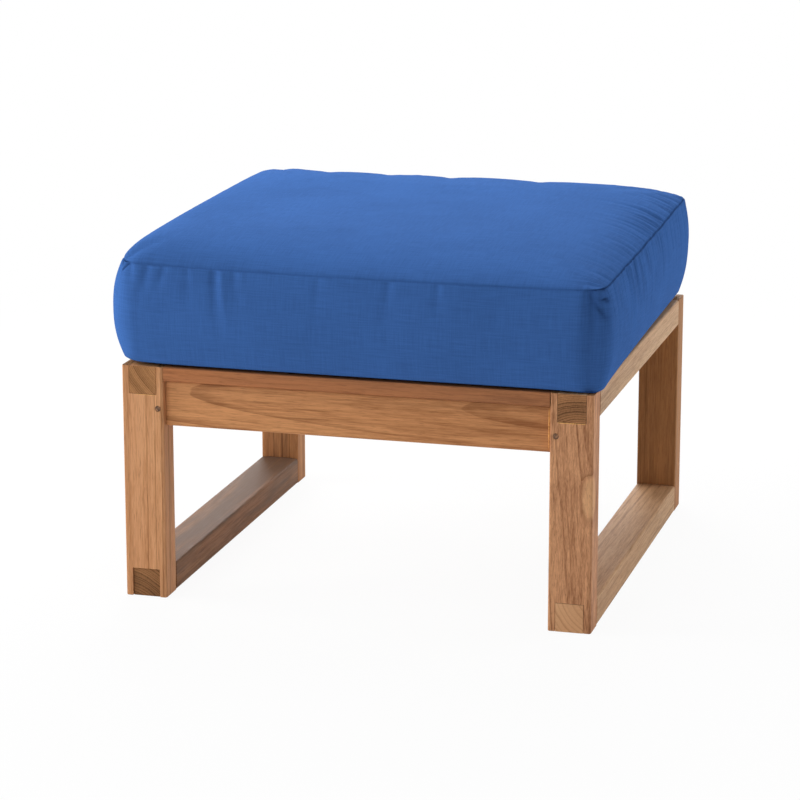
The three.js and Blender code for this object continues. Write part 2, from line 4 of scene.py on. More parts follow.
import bmesh
import bpy
import numpy as np
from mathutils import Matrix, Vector


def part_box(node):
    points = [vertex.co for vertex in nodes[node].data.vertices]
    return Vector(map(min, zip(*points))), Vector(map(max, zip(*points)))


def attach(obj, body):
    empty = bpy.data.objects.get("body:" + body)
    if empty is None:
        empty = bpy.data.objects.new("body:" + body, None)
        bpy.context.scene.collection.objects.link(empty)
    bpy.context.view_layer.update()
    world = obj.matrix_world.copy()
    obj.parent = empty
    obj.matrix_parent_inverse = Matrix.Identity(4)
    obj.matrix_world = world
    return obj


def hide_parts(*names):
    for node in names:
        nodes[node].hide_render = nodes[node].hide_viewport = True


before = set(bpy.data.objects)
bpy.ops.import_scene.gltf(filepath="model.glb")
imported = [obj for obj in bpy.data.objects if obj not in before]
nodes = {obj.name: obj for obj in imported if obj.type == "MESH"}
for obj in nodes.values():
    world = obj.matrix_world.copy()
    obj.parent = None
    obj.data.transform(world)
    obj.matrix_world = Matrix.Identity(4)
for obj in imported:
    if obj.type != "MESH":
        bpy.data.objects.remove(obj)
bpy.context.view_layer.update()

# An outdoor ottoman footstool: a teak frame with through tenons, and a boxed cushion in
# blue woven acrylic that lies on it. Sizes are in metres, with +X right, +Y to the back
# and +Z up. The front faces -Y.

mm = 0.001
tiny = 1e-9


def paint(red, green, blue):
    """A colour that is given by its screen values, as the shaders want it."""
    linear = [(value / 255 / 12.92) if value <= 10 else ((value / 255 + 0.055) / 1.055) ** 2.4
              for value in (red, green, blue)]
    return (*linear, 1.0)


# Shaders


def math_node(operation, turned=False):
    """A method that adds a Math node to a value's tree, with the values turned round if asked."""
    def method(own, *others):
        values = (*others, own) if turned else (own, *others)
        return own.owner.node("ShaderNodeMath", {"operation": operation}, dict(enumerate(values)))

    return method


class Value:
    """A number or colour that a node gives. Arithmetic with it adds Math nodes."""

    def __init__(self, owner, socket):
        self.owner = owner
        self.socket = socket

    __add__, __radd__ = math_node("ADD"), math_node("ADD", turned=True)
    __sub__, __rsub__ = math_node("SUBTRACT"), math_node("SUBTRACT", turned=True)
    __mul__, __rmul__ = math_node("MULTIPLY"), math_node("MULTIPLY", turned=True)
    __truediv__ = math_node("DIVIDE")
    __pow__ = math_node("POWER")
    absolute = math_node("ABSOLUTE")
    whole = math_node("FLOOR")
    fraction = math_node("FRACT")
    wave = math_node("SINE")
    smallest = math_node("MINIMUM")
    largest = math_node("MAXIMUM")

    def rise(self, low, high):
        """0 up to low, 1 from high on, and a smooth rise between them."""
        sockets = {"Value": self, "From Min": low, "From Max": high}
        return self.owner.node("ShaderNodeMapRange", {"interpolation_type": "SMOOTHSTEP"}, sockets)


class Nodes:
    """A node tree whose nodes are added one by one."""

    def __init__(self, tree):
        self.tree = tree

    def node(self, kind, settings=(), sockets=(), output=0):
        made = self.tree.nodes.new(kind)
        for name, value in dict(settings).items():
            setattr(made, name, value)
        for name, value in dict(sockets).items():
            self.feed(made.inputs[name], value)
        return Value(self, made.outputs[output])

    def feed(self, socket, value):
        if isinstance(value, Value):
            self.tree.links.new(value.socket, socket)
        else:
            socket.default_value = value

    def vector(self, x, y, z):
        return self.node("ShaderNodeCombineXYZ", sockets={"X": x, "Y": y, "Z": z})

    def end(self, kind, socket, value):
        """Adds the node that ends the tree, and feeds it."""
        self.feed(self.tree.nodes.new(kind).inputs[socket], value)


class Shader(Nodes):
    """A material that is built node by node around one Principled BSDF."""

    def __init__(self, name, **surface):
        self.material = bpy.data.materials.new(name)
        self.material.use_nodes = True
        super().__init__(self.material.node_tree)
        self.surface = self.tree.nodes["Principled BSDF"]
        for socket, value in surface.items():
            self.surface.inputs[socket.replace("_", " ")].default_value = value

    def place(self, kind="Object"):
        return self.node("ShaderNodeTexCoord", output=kind)

    def parts(self, vector):
        return [self.node("ShaderNodeSeparateXYZ", sockets={0: vector}, output=index)
                for index in range(3)]

    def attribute(self, name, output):
        return self.node("ShaderNodeAttribute", {"attribute_name": name}, output=output)

    def noise(self, vector, scale, detail=2.0, roughness=0.5):
        sockets = {"Vector": vector, "Scale": scale, "Detail": detail, "Roughness": roughness}
        return self.node("ShaderNodeTexNoise", {"noise_dimensions": "3D"}, sockets)

    def line_noise(self, value, scale):
        sockets = {"W": value, "Scale": scale, "Detail": 1.0}
        return self.node("ShaderNodeTexNoise", {"noise_dimensions": "1D"}, sockets)

    def chance(self, value):
        return self.node("ShaderNodeTexWhiteNoise", {"noise_dimensions": "1D"}, {"W": value})

    def mix(self, share, first, second):
        """Goes from one colour to another. Each is a value, or a colour's screen values."""
        first, second = (end if isinstance(end, Value) else paint(*end) for end in (first, second))
        sockets = {0: share, 6: first, 7: second}
        return self.node("ShaderNodeMix", {"data_type": "RGBA"}, sockets, output=2)

    def finish(self, colour, roughness, height, strength, depth):
        """Ends the material. The height gives its relief, of this strength and depth."""
        relief = {"Height": height, "Strength": strength, "Distance": depth}
        bump = self.node("ShaderNodeBump", sockets=relief, output="Normal")
        for name, value in {"Base Color": colour, "Roughness": roughness, "Normal": bump}.items():
            self.feed(self.surface.inputs[name], value)
        return self.material


def speckled(name, scale, colours, roughness, strength, depth, spread=None):
    """A material whose colour, roughness and relief follow one noise."""
    shader = Shader(name)
    speck = shader.noise(shader.place(), scale, 3.0)
    colour = shader.mix(speck.rise(*spread) if spread else speck, *colours)
    return shader.finish(colour, roughness[0] + speck * roughness[1], speck, strength, depth)


def worn_metal(name, scales, colours, tarnish_range, tarnish_share, roughness, depth):
    """Metal with fine scratches and broader tarnish. The scales and roughness go in that order."""
    shader = Shader(name, Metallic=1.0)
    scratch = shader.noise(shader.place(), scales[0], 3.0)
    tarnish = shader.noise(shader.place(), scales[1], 3.0).rise(*tarnish_range)
    colour = shader.mix(tarnish * tarnish_share, *colours)
    rough = roughness[0] + scratch * roughness[1] + tarnish * roughness[2]
    return shader.finish(colour, rough, scratch, 0.15, depth)


# Teak. Each board is cut from its own place in a log: its rings lie round a pith that
# runs beside the board, so that faces, edges and end grain agree.

Board = namedtuple("Board", "axis seed pith lean ring wander pale dark streak grime stretch "
                            "end_pale end_dark",
                   defaults=[0.12, 0.05, (168, 122, 80), (104, 70, 44)])

grain_stretch = 0.09
grain_depth = 0.12 * mm
fine_wander = 1.6 * mm
streak_colour = (88, 50, 27)
grime_colour = (100, 77, 61)
blush_colour = (168, 98, 58)

# The pale flame on the right front post's face, by its right edge: where it lies across and
# along the post, how far it reaches across, along and into the post, how its outline sways
# with the slow and the quick grain, how far it pushes the rings off, and its colour
flame_post = "right_front_post"
flame_centre = (26 * mm, 22 * mm)
flame_reach = (13 * mm, 32 * mm, 20 * mm)
flame_sway = (18 * mm, 7 * mm)
flame_push = 9 * mm
flame_colour = (236, 184, 134)


def teak(name, board, low, high):
    """Teak with the board's latewood rings, fibres, pores, streaks, grime and end grain."""
    shader = Shader(name, Specular_IOR_Level=0.12)
    centred = shader.node("ShaderNodeMapping", {"vector_type": "POINT"},
                          {"Vector": shader.place(), "Location": -(low + high) / 2})
    x, y, z = shader.parts(centred)
    along, across, upright = {"X": (x, y, z), "Y": (y, x, z), "Z": (z, x, y)}[board.axis]
    grain = shader.vector(across + board.seed, upright, along * grain_stretch)
    fibres = shader.vector(across, upright + board.seed, along * board.stretch)
    has_flame = name.endswith(flame_post)

    slow = shader.noise(grain, 11.0) - 0.5
    quick = shader.noise(grain, 70.0) - 0.5
    off_pith = across - along * board.lean[0] - board.pith[0]
    up_pith = upright - along * board.lean[1] - board.pith[1]
    reach = (off_pith ** 2 + up_pith ** 2) ** 0.5
    if has_flame:
        sway = slow * flame_sway[0] + quick * flame_sway[1]
        flame = (((across + sway - flame_centre[0]) / flame_reach[0]) ** 2
                 + ((along - flame_centre[1]) / flame_reach[1]) ** 2
                 + ((upright + (high.y - low.y) / 2) / flame_reach[2]) ** 2)
        reach = reach + (1 - flame.rise(0.0, 1.6)) * flame_push
    ring = (reach + slow * (2 * board.wander) + quick * fine_wander) / board.ring + board.seed
    uneven = ring + shader.line_noise(ring, 0.45) * 1.1
    turn = uneven.fraction()
    latewood = turn.rise(0.5, 0.96) * (1 - turn.rise(0.965, 1.0))
    strength = shader.chance(uneven.whole())
    band = shader.line_noise(ring, 0.16).rise(0.36, 0.7)
    cloud = shader.noise(grain, 26.0, 3.0).rise(0.32, 0.72)
    streaks = shader.noise(fibres, 170.0, 3.0, 0.62)
    fibre = shader.noise(fibres, 560.0, 4.0, 0.65)
    pore = shader.noise(fibres, 1300.0, 1.0).rise(0.58, 0.7)

    figure = (latewood * (strength * strength * 0.45 + 0.08) + band * 0.32 + cloud * 0.34
              + (streaks - 0.5) * 1.2 + (fibre - 0.5) * 1.6)
    colour = shader.mix(figure, board.pale, board.dark)
    blush = shader.noise(grain, 12.0, 2.0).rise(0.42, 0.68)
    colour = shader.mix(blush * 0.2, colour, blush_colour)
    if has_flame:
        rim = flame.rise(0.5, 1.0) * (1 - flame.rise(1.0, 1.8))
        colour = shader.mix(rim * 0.3, colour, board.dark)
        colour = shader.mix((1 - flame.rise(0.2, 1.1)) * (streaks + 0.1), colour, flame_colour)
    vein = latewood * strength.rise(0.6, 0.95) * shader.noise(grain, 17.0).rise(0.36, 0.62)
    vein = vein + streaks.rise(0.6, 0.72) * shader.noise(grain, 31.0).rise(0.46, 0.7)
    colour = shader.mix(vein * board.streak + pore * 0.3, colour, streak_colour)
    smear = shader.noise(grain, 15.0, 4.0, 0.6).rise(0.4, 0.64) * (streaks * 0.8 + 0.5)
    colour = shader.mix(smear * board.grime, colour, grime_colour)

    facing = dict(zip("XYZ", shader.parts(shader.place("Normal"))))[board.axis].absolute()
    end_grain = facing.rise(0.55, 0.85)
    end_rings = latewood * (strength * 0.5 + 0.25) + band * 0.35 + (fibre - 0.4) * 0.8 + slow * 1.2
    colour = shader.mix(end_grain, colour, shader.mix(end_rings, board.end_pale, board.end_dark))

    roughness = 0.58 + (fibre - 0.5) * 0.35 + end_grain * 0.15
    height = fibre * 0.5 - pore * 0.6 - latewood * 0.25
    return shader.finish(colour, roughness, height, 0.45, grain_depth)


amber = (203, 144, 92)
umber = (146, 92, 55)
straight = (0.0, 0.0)
boards = {name: Board(*row) for name, *row in (
    ("left_front_post", "Z", 0.31, (0.085, 0.012), (0.004, 0.0), 4.6 * mm, 2 * mm,
     (222, 166, 120), (170, 114, 68), 0.3),
    ("left_rear_post", "Z", 0.87, (-0.05, 0.03), (0.0, 0.01), 5 * mm, 4 * mm,
     (186, 130, 82), (114, 72, 40), 0.6, 0.4),
    ("right_front_post", "Z", 1.43, (0.026, -0.044), (-0.03, 0.06), 5.4 * mm, 14 * mm,
     (222, 164, 120), (142, 90, 57), 0.6, 0.06, 0.13),
    ("right_rear_post", "Z", 2.05, (0.09, 0.07), straight, 6 * mm, 5 * mm,
     (174, 122, 76), (132, 90, 52), 0.08),
    ("left_top_rail", "Y", 2.61, (0.07, 0.06), straight, 2.3 * mm, 6 * mm,
     (214, 158, 108), (156, 100, 58), 0.35, 0.12, 0.05, (184, 132, 86), (116, 78, 48)),
    ("right_top_rail", "Y", 3.17, (0.012, -0.075), straight, 3.0 * mm, 5 * mm,
     (208, 171, 134), (158, 122, 90), 0.2, 0.12, 0.05, (186, 132, 88), (70, 45, 29)),
    ("left_bottom_rail", "Y", 3.71, (-0.03, -0.08), (0.03, 0.0), 3.4 * mm, 7 * mm,
     (152, 110, 76), (106, 72, 46), 0.5, 1.25, 0.05, (164, 116, 76), (56, 37, 25)),
    ("right_bottom_rail", "Y", 4.29, (0.05, 0.035), (0.02, 0.01), 6 * mm, 7 * mm,
     (204, 164, 124), (160, 122, 86), 0.25, 0.12, 0.05, (224, 174, 130), (196, 144, 102)),
    ("front_apron", "X", 4.83, (0.034, 0.014), (-0.05, 0.01), 6.5 * mm, 8 * mm,
     (218, 156, 104), (150, 96, 58), 0.5),
    ("rear_apron", "X", 5.39, (0.05, -0.02), (0.0, 0.03), 5 * mm, 8 * mm, amber, umber, 0.4),
    ("left_slat_cleat", "Y", 5.93, (0.05, 0.05), straight, 5 * mm, 5 * mm, amber, umber, 0.4),
    ("right_slat_cleat", "Y", 6.47, (0.04, -0.06), straight, 5 * mm, 5 * mm, amber, umber, 0.4),
    ("seat_bearer", "Y", 7.01, (0.06, -0.03), straight, 5 * mm, 5 * mm, amber, umber, 0.4),
)}
slat_names = sorted(name for name in nodes if name.startswith("seat_slat_") and "screw" not in name)
for index, name in enumerate(slat_names):
    pith = (0.03 * math.sin(2.1 * index), 0.05 + 0.012 * math.cos(1.7 * index))
    lean = (0.02 * math.cos(index), 0.0)
    boards[name] = Board("X", 7.6 + 0.53 * index, pith, lean, 5.4 * mm, 7 * mm,
                         (188, 124, 80), (112, 66, 40), 0.8, 0.3)

# Wooden pieces

weld_distance = 0.01 * mm
flat_angle = math.radians(1)
smooth_angle = math.radians(40)
arris_round = 0.7 * mm
peg_round = 0.4 * mm
left_tenon_recess = 2.6 * mm
foot_round = 2.4 * mm


def add_object(name, data):
    data.name = name
    made = bpy.data.objects.new(name, data)
    bpy.context.scene.collection.objects.link(made)
    return made


def solid_copy(node, name):
    """A merged copy of a solid, with one face for each of its flats."""
    copied = nodes[node].data.copy()
    shape = bmesh.new()
    shape.from_mesh(copied)
    bmesh.ops.remove_doubles(shape, verts=shape.verts, dist=weld_distance)
    bmesh.ops.dissolve_limit(shape, angle_limit=flat_angle, verts=shape.verts, edges=shape.edges)
    shape.to_mesh(copied)
    shape.free()
    copied.materials.clear()
    return add_object(name, copied)


def ease_edges(piece, width, angle=50, segments=2):
    piece.data.shade_smooth()
    piece.data.set_sharp_from_angle(angle=smooth_angle)
    bevel = piece.modifiers.new("eased_edges", "BEVEL")
    bevel.limit_method = "ANGLE"
    bevel.angle_limit = math.radians(angle)
    bevel.width = width
    bevel.segments = segments
    bevel.harden_normals = True
    piece.modifiers.new("flat_faces", "WEIGHTED_NORMAL").keep_sharp = True


def round_end(piece, width, all_round):
    """Rounds the edges of a piece's lower end more than the others, or only its corners."""
    bevel = piece.modifiers["eased_edges"]
    shape = bmesh.new()
    shape.from_mesh(piece.data)
    lowest = min(vertex.co.z for vertex in shape.verts)
    share = shape.edges.layers.float.new("bevel_weight_edge")
    for edge in shape.edges:
        if edge.calc_face_angle(0) > bevel.angle_limit:
            run = edge.verts[1].co - edge.verts[0].co
            lower = all(vertex.co.z < lowest + weld_distance for vertex in edge.verts)
            chosen = lower and (all_round or abs(run.y) > abs(run.x))
            edge[share] = 1.0 if chosen else bevel.width / width
    shape.to_mesh(piece.data)
    shape.free()
    bevel.limit_method = "WEIGHT"
    bevel.width = width


def hand_over(piece, body, slot, *replaced):
    """Puts a piece on its body, in place of the solids that it replaces. The slot is not used."""
    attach(piece, body)
    if replaced:
        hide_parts(*replaced)


def front_flat(mesh):
    """The points of the flat in which a piece ends at the front."""
    front = min(vertex.co.y for vertex in mesh.vertices)
    return [vertex for vertex in mesh.vertices if vertex.co.y < front + weld_distance]


def add_boards():
    for name, board in boards.items():
        piece = solid_copy(name, f"{name}_board")
        if name == "left_bottom_rail":
            for vertex in front_flat(piece.data):
                vertex.co.y += left_tenon_recess
        ease_edges(piece, arris_round)
        if name.endswith("_post"):
            round_end(piece, foot_round, all_round=True)
        piece.data.materials.append(teak(f"teak_{name}", board, *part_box(name)))
        hand_over(piece, "frame", "teak", name)


glue_width = 2.2 * mm
glue_height = 0.5 * mm
glue_setback = 3.2 * mm
glue_step = 1.6 * mm
glue_drop = 0.9 * mm
glue_taper_power = 0.3
glue_uneven = (0.35, 1.0)
glue_seed = 31

# The glue lines under the top rails: how far from the rail's left edge each starts, and
# its width and height as a share of those of the line at the apron
rail_glue = (("right_top_rail", 0, 0.75), ("left_top_rail", 8 * mm, 0.4))


def add_glue_lines():
    """Glue that was squeezed out of three joints of the front, as low uneven beads."""
    dice = np.random.default_rng(glue_seed)
    low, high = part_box("front_apron")
    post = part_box("right_front_post")[0]
    inner = post.x - glue_setback
    lines = [((inner, low.y, low.z + 4 * mm), (inner, low.y, high.z - 3 * mm), 1.0)]
    for rail, start, share in rail_glue:
        corners = np.array([vertex.co for vertex in front_flat(nodes[rail].data)])
        (low_x, _, low_z), (high_x, _, _) = corners.min(axis=0), corners.max(axis=0)
        level = low_z - glue_drop
        lines.append(((low_x + start, post.y, level), (high_x, post.y, level), share))
    points, faces = [], []
    for start, end, share in lines:
        start, end = np.array(start), np.array(end)
        length = np.linalg.norm(end - start)
        along = (end - start) / length
        beside = np.cross(along, (0, -1, 0))
        steps = int(length / glue_step)
        first = len(points)
        for index in range(steps + 1):
            taper = math.sin(math.pi * index / steps) ** glue_taper_power * share
            taper *= dice.uniform(*glue_uneven)
            middle = start + along * (length * index / steps)
            half = beside * (glue_width / 2 * taper)
            top = middle + np.array((0, -glue_height * taper, 0))
            points += [middle + half, top + half * 0.5, top - half * 0.5, middle - half]
        for index in range(steps):
            for side in range(3):
                corner = first + 4 * index + side
                faces.append((corner, corner + 1, corner + 5, corner + 4))
    mesh = bpy.data.meshes.new("glue_lines")
    mesh.from_pydata([tuple(point) for point in points], [], faces)
    mesh.shade_smooth()
    mesh.materials.append(glue_finish)
    hand_over(add_object("glue_lines", mesh), "frame", "teak")


def peg_wood():
    shader = Shader("peg_end_grain", IOR=1.5)
    x, y, z = shader.parts(shader.place())
    grain = shader.vector(x, y * 0.05, z)
    spread = shader.noise(grain, 260.0, 3.0)
    speck = shader.noise(grain, 900.0, 2.0).rise(0.5, 0.7)
    colour = shader.mix(spread.rise(0.35, 0.65), (160, 114, 78), (92, 62, 42))
    colour = shader.mix(speck * 0.5, colour, (62, 42, 30))
    return shader.finish(colour, 0.6 + speck * 0.2, spread - speck, 0.5, 0.15 * mm)


def add_pegs():
    material = peg_wood()
    for name in sorted(name for name in nodes if name.endswith("_peg")):
        piece = solid_copy(name, f"{name}_dowel")
        ease_edges(piece, peg_round)
        piece.data.materials.append(material)
        hand_over(piece, "frame", "peg_wood", name)


# Screws

screw_head_radius = 4 * mm
screw_head_height = 3 * mm
screw_shank_radius = 2 * mm
screw_tip = 2 * mm
thread_pitch = 2.2 * mm
thread_depth = 0.55 * mm
recess_depth = 1.7 * mm
recess_reach = 2.1 * mm
recess_width = 0.9 * mm
recess_taper = 0.55
recess_power = 6
ring_sides = 20
screw_tip_share = 0.55
screw_sharp_angle = math.radians(45)
screw_turn = 2.4
slat_screw_length = 30 * mm
cleat_screw_length = 40 * mm

# The rim of a screw's head: each ring's level, and how far it stands past the head's radius
screw_rim = ((0.0, -0.25 * mm), (-0.25 * mm, 0.0), (-0.6 * mm, -0.15 * mm))


def screw_levels(length):
    """The level and radius of each ring of a screw, from its head down."""
    core = screw_shank_radius - thread_depth / 2
    levels = [(level, screw_head_radius + past) for level, past in screw_rim]
    levels.append((-screw_head_height, screw_shank_radius))
    steps = int((length - 2 * screw_head_height - 2 * screw_tip) / (thread_pitch / 2))
    for step in range(steps + 1):
        deep = -thread_depth / 2 if step % 2 else thread_depth / 2
        levels.append((-2 * screw_head_height - step * thread_pitch / 2, core + deep))
    return [*levels, (-length + screw_tip, core * screw_tip_share)]


def recess_radius(angle):
    """The cross recess: long along its two arms, short between them."""
    arm = abs(math.cos(2 * angle)) ** recess_power
    return recess_width + (recess_reach - recess_width) * arm


def screw_pattern(length):
    """A countersunk screw, head up at the origin, with a cross recess and a thread."""
    turns = np.linspace(0, 2 * math.pi, ring_sides, endpoint=False)
    shape = bmesh.new()
    recess = [recess_radius(t) for t in turns]
    profile = [(-recess_depth, [recess_taper * radius for radius in recess]), (0, recess)]
    profile += [(level, [radius] * ring_sides) for level, radius in screw_levels(length)]
    rings = [[shape.verts.new((radius * math.cos(t), radius * math.sin(t), level))
              for t, radius in zip(turns, radii)] for level, radii in profile]
    point = shape.verts.new((0, 0, -length))
    for index in range(ring_sides):
        after = (index + 1) % ring_sides
        for upper, lower in zip(rings, rings[1:]):
            shape.faces.new((upper[index], lower[index], lower[after], upper[after]))
        shape.faces.new((rings[-1][index], point, rings[-1][after]))
    shape.faces.new(rings[0])
    bmesh.ops.recalc_face_normals(shape, faces=shape.faces)
    mesh = bpy.data.meshes.new("screw_pattern")
    shape.to_mesh(mesh)
    shape.free()
    return mesh


class Growth(Nodes):
    """A geometry node tree with named inputs, which puts a shape at each point of a piece."""

    def __init__(self, name, **inputs):
        super().__init__(bpy.data.node_groups.new(name, "GeometryNodeTree"))
        for way in ("OUTPUT", "INPUT"):
            self.tree.interface.new_socket("Geometry", in_out=way, socket_type="NodeSocketGeometry")
        self.inputs = {}
        for label, value in inputs.items():
            kind = "NodeSocketFloat" if isinstance(value, float) else "NodeSocketObject"
            made = self.tree.interface.new_socket(label, in_out="INPUT", socket_type=kind)
            self.inputs[made.identifier] = value
        self.entry = self.tree.nodes.new("NodeGroupInput")

    def value(self, label):
        return Value(self, self.entry.outputs[label])

    def grow(self, piece, shape, material, **sockets):
        """Ends the tree, runs it on the piece and keeps the result as a plain mesh."""
        spread = self.node("GeometryNodeInstanceOnPoints",
                           sockets={"Points": self.value("Geometry"), "Instance": shape, **sockets})
        real = self.node("GeometryNodeRealizeInstances", sockets={0: spread})
        done = self.node("GeometryNodeSetMaterial",
                         sockets={"Geometry": real, "Material": material})
        self.end("NodeGroupOutput", "Geometry", done)
        modifier = piece.modifiers.new(self.tree.name, "NODES")
        modifier.node_group = self.tree
        for identifier, value in self.inputs.items():
            modifier[identifier] = value
        bpy.context.view_layer.update()
        seen = piece.evaluated_get(bpy.context.evaluated_depsgraph_get())
        mesh = bpy.data.meshes.new_from_object(seen)
        piece.modifiers.clear()
        piece.data = mesh
        mesh.name = piece.name
        mesh.shade_smooth()


def points_piece(name, places, turns=()):
    """Loose points at these places, each with its own turn where one is given."""
    mesh = bpy.data.meshes.new(name)
    mesh.from_pydata([tuple(place) for place in places], [], [])
    if turns:
        turn = mesh.attributes.new("turn", "FLOAT_VECTOR", "POINT")
        turn.data.foreach_set("vector", np.array(turns, np.float32).ravel())
    return add_object(name, mesh)


def add_screws(name, mark, length, upright):
    """One piece for each kind of screw: the pattern screw stands at each of its places."""
    members = sorted(node for node in nodes if mark in node and "screw" in node)
    places, turns = [], []
    for index, member in enumerate(members):
        low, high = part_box(member)
        x, y, z = (low + high) / 2
        turn = screw_turn * index
        inner = low.x if x > 0 else high.x
        places.append((x, y, high.z) if upright else (inner, y, z))
        turns.append((0, 0, turn) if upright else (turn, -math.copysign(math.pi / 2, x), 0))
    piece = points_piece(name, places, turns)
    pattern = add_object("pattern", screw_pattern(length))
    tree = Growth(f"{name}_tree", Screw=pattern, Size=1.0)
    shape = tree.node("GeometryNodeObjectInfo", sockets={"Object": tree.value("Screw")},
                      output="Geometry")
    turned = tree.node("GeometryNodeInputNamedAttribute", {"data_type": "FLOAT_VECTOR"},
                       {"Name": "turn"})
    rotation = tree.node("FunctionNodeEulerToRotation", sockets={0: turned})
    tree.grow(piece, shape, steel_finish, Rotation=rotation, Scale=tree.value("Size"))
    bpy.data.objects.remove(pattern)
    piece.data.set_sharp_from_angle(angle=screw_sharp_angle)
    hand_over(piece, "frame", "steel", *members)


# Cushion. A point of its cover is known by where it lies across (a) and along (b) the
# seat, from -1 to 1, and by its level on the boxing, from 0 at the lower seam to 1 at the
# upper one.

cushion_half = 308 * mm
cushion_setback = 5 * mm
cushion_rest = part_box("cover_bottom_panel")[0].z
lower_seam = cushion_rest + 4 * mm
boxing_height = 127 * mm
upper_seam = lower_seam + boxing_height
crown_rise = 23 * mm
crown_fullness = 0.73
bulge_power = 2.4
corner_bulge_loss = 0.05
corner_round = 27 * mm
under_power = 24
grid_power = 6
sag_power = 8
corner_lift_power = 8
late_fall_left = 6
front_roll = 4.5 * mm
front_roll_reach = 14 * mm

# The right seam wavers a little: how far, the waves along it with where each starts, and
# how fast it fades away from the seam
seam_wander = 0.4 * mm
seam_waves = ((11, 0.6), (27, 2.0))
wander_power = 40

# How the left, right, front and rear sides differ: how late the crown falls off towards a
# side, how far the seam bows out there, how far the boxing bulges and the upper seam sags
Side = namedtuple("Side", "crown_power bow bulge sag")
sides = (Side(18, 1.6 * mm, 16 * mm, -4.5 * mm), Side(7, -1.8 * mm, 10.8 * mm, 4.5 * mm),
         Side(2.5, 2.0 * mm, 9.6 * mm, 3.1 * mm), Side(8.5, -4.5 * mm, 4.8 * mm, -4.6 * mm))

# How far each corner stands from its square place, in millimetres to the right, to the
# back and up. A corner is known by its a and b.
upper_corner_shifts = {(-1, -1): (0, -1, 2), (1, -1): (6.5, -1, -1), (1, 1): (-2.5, 1, 8),
                       (-1, 1): (-6.5, 2, 9)}
lower_corner_shifts = {(-1, -1): (-0.5, 1.5, 2.5), (1, -1): (5, 1.5, -3.5), (1, 1): (-9, 1, 1.5),
                       (-1, 1): (0, 1, 2)}


def by_side(a, b, field):
    """A field of the nearer side, of left and right and of front and rear."""
    left, right, front, rear = (getattr(side, field) for side in sides)
    return np.where(a < 0, left, right), np.where(b < 0, front, rear)


def outline(a, b):
    """Where the seam runs round the seat, and its outward direction, for |a| or |b| = 1."""
    corner = corner_round / cushion_half
    wide, narrow = np.abs(a), np.abs(b)
    swap = narrow > wide
    minor = np.minimum(wide, narrow)
    turn = np.clip((minor - 1 + corner) / corner, 0, 1) * math.pi / 4
    middle = cushion_half - corner_round
    far = middle + corner_round * np.cos(turn)
    near = np.where(minor < 1 - corner, cushion_half * minor, middle + corner_round * np.sin(turn))
    x = np.where(swap, near, far) * np.sign(a)
    y = np.where(swap, far, near) * np.sign(b)
    out_x = np.where(swap, np.sin(turn), np.cos(turn)) * np.sign(a)
    out_y = np.where(swap, np.cos(turn), np.sin(turn)) * np.sign(b)
    bow_a, bow_b = by_side(a, b, "bow")
    bowed_x = x + out_x * bow_a * (1 - (y / cushion_half) ** 2)
    bowed_y = y + out_y * bow_b * (1 - (x / cushion_half) ** 2)
    return bowed_x, bowed_y, out_x, out_y


def corner_pull(a, b, shifts):
    """How far the cushion's corners carry a point with them."""
    pull = np.zeros((*np.shape(a), 3))
    for (corner_a, corner_b), shift in shifts.items():
        weight = (1 + corner_a * a) * (1 + corner_b * b) / 4
        pull += weight[..., None] * np.array(shift) * mm
    return pull


def cushion_form(a, b, level):
    """Points of the cushion's cover, and the outward direction of the nearest seam."""
    ring = np.maximum(np.maximum(np.abs(a), np.abs(b)), tiny)
    seam_x, seam_y, out_x, out_y = outline(a / ring, b / ring)
    share = ring ** grid_power
    x = ring * ((1 - share) * cushion_half * a / ring + share * seam_x)
    y = ring * ((1 - share) * cushion_half * b / ring + share * seam_y) + cushion_setback

    facing = np.abs(out_x) / (np.abs(out_x) + np.abs(out_y))
    bulge_a, bulge_b = by_side(a, b, "bulge")
    fullness = (1 - np.abs(2 * level - 1) ** bulge_power) * (ring > 1 - tiny)
    bulge = (facing * bulge_a + (1 - facing) * bulge_b) * fullness
    bulge = bulge * (1 - corner_bulge_loss * np.abs(2 * out_x * out_y))

    under = 1 - (1 - np.abs(a) ** under_power) * (1 - np.abs(b) ** under_power)
    low = cushion_rest + (lower_seam - cushion_rest) * under
    power_a, power_b = by_side(a, b, "crown_power")
    power_b = power_b + late_fall_left * ((1 - a) / 2) ** 3 * (b < 0)
    fall_a = 1 - np.abs(a) ** power_a
    fall_b = 1 - np.abs(b) ** power_b
    dome = np.maximum(fall_a * fall_b, 0) ** crown_fullness
    sag_a, sag_b = by_side(a, b, "sag")
    sag = (sag_a * np.abs(a) ** sag_power * (1 - b ** 2)
           + sag_b * np.abs(b) ** sag_power * (1 - a ** 2))
    roll = front_roll * (1 - np.exp(-(1 + b) * cushion_half / front_roll_reach))
    roll = roll * ((1 - b) / 2) ** 2
    waver = sum(np.sin(turns * b + start) for turns, start in seam_waves)
    wander = seam_wander * waver * np.maximum(a, 0) ** wander_power
    crown = (crown_rise * dome + roll * np.minimum(1, fall_a * 3)) * (level > 0.5)
    high = upper_seam - sag + wander + crown

    upper_pull = corner_pull(a, b, upper_corner_shifts)
    lower_pull = corner_pull(a, b, lower_corner_shifts)
    lower_pull[..., 2] *= np.abs(a * b) ** corner_lift_power
    lower_pull[..., 2] = np.maximum(lower_pull[..., 2], cushion_rest - low)
    grid = np.stack([x + out_x * bulge, y + out_y * bulge, low + (high - low) * level], axis=-1)
    grid += upper_pull * level[..., None] + lower_pull * (1 - level[..., None])
    return grid, np.stack([out_x, out_y, 0 * out_x], axis=-1)


# Patches of the cover: each is a grid of a, b and level, and of lengths along its cloth.
# The grid's rows follow run, which is a or b, and forward is 1 where the cloth's length
# grows with it and -1 where it shrinks.
Patch = namedtuple("Patch", "name a b level u v run forward")


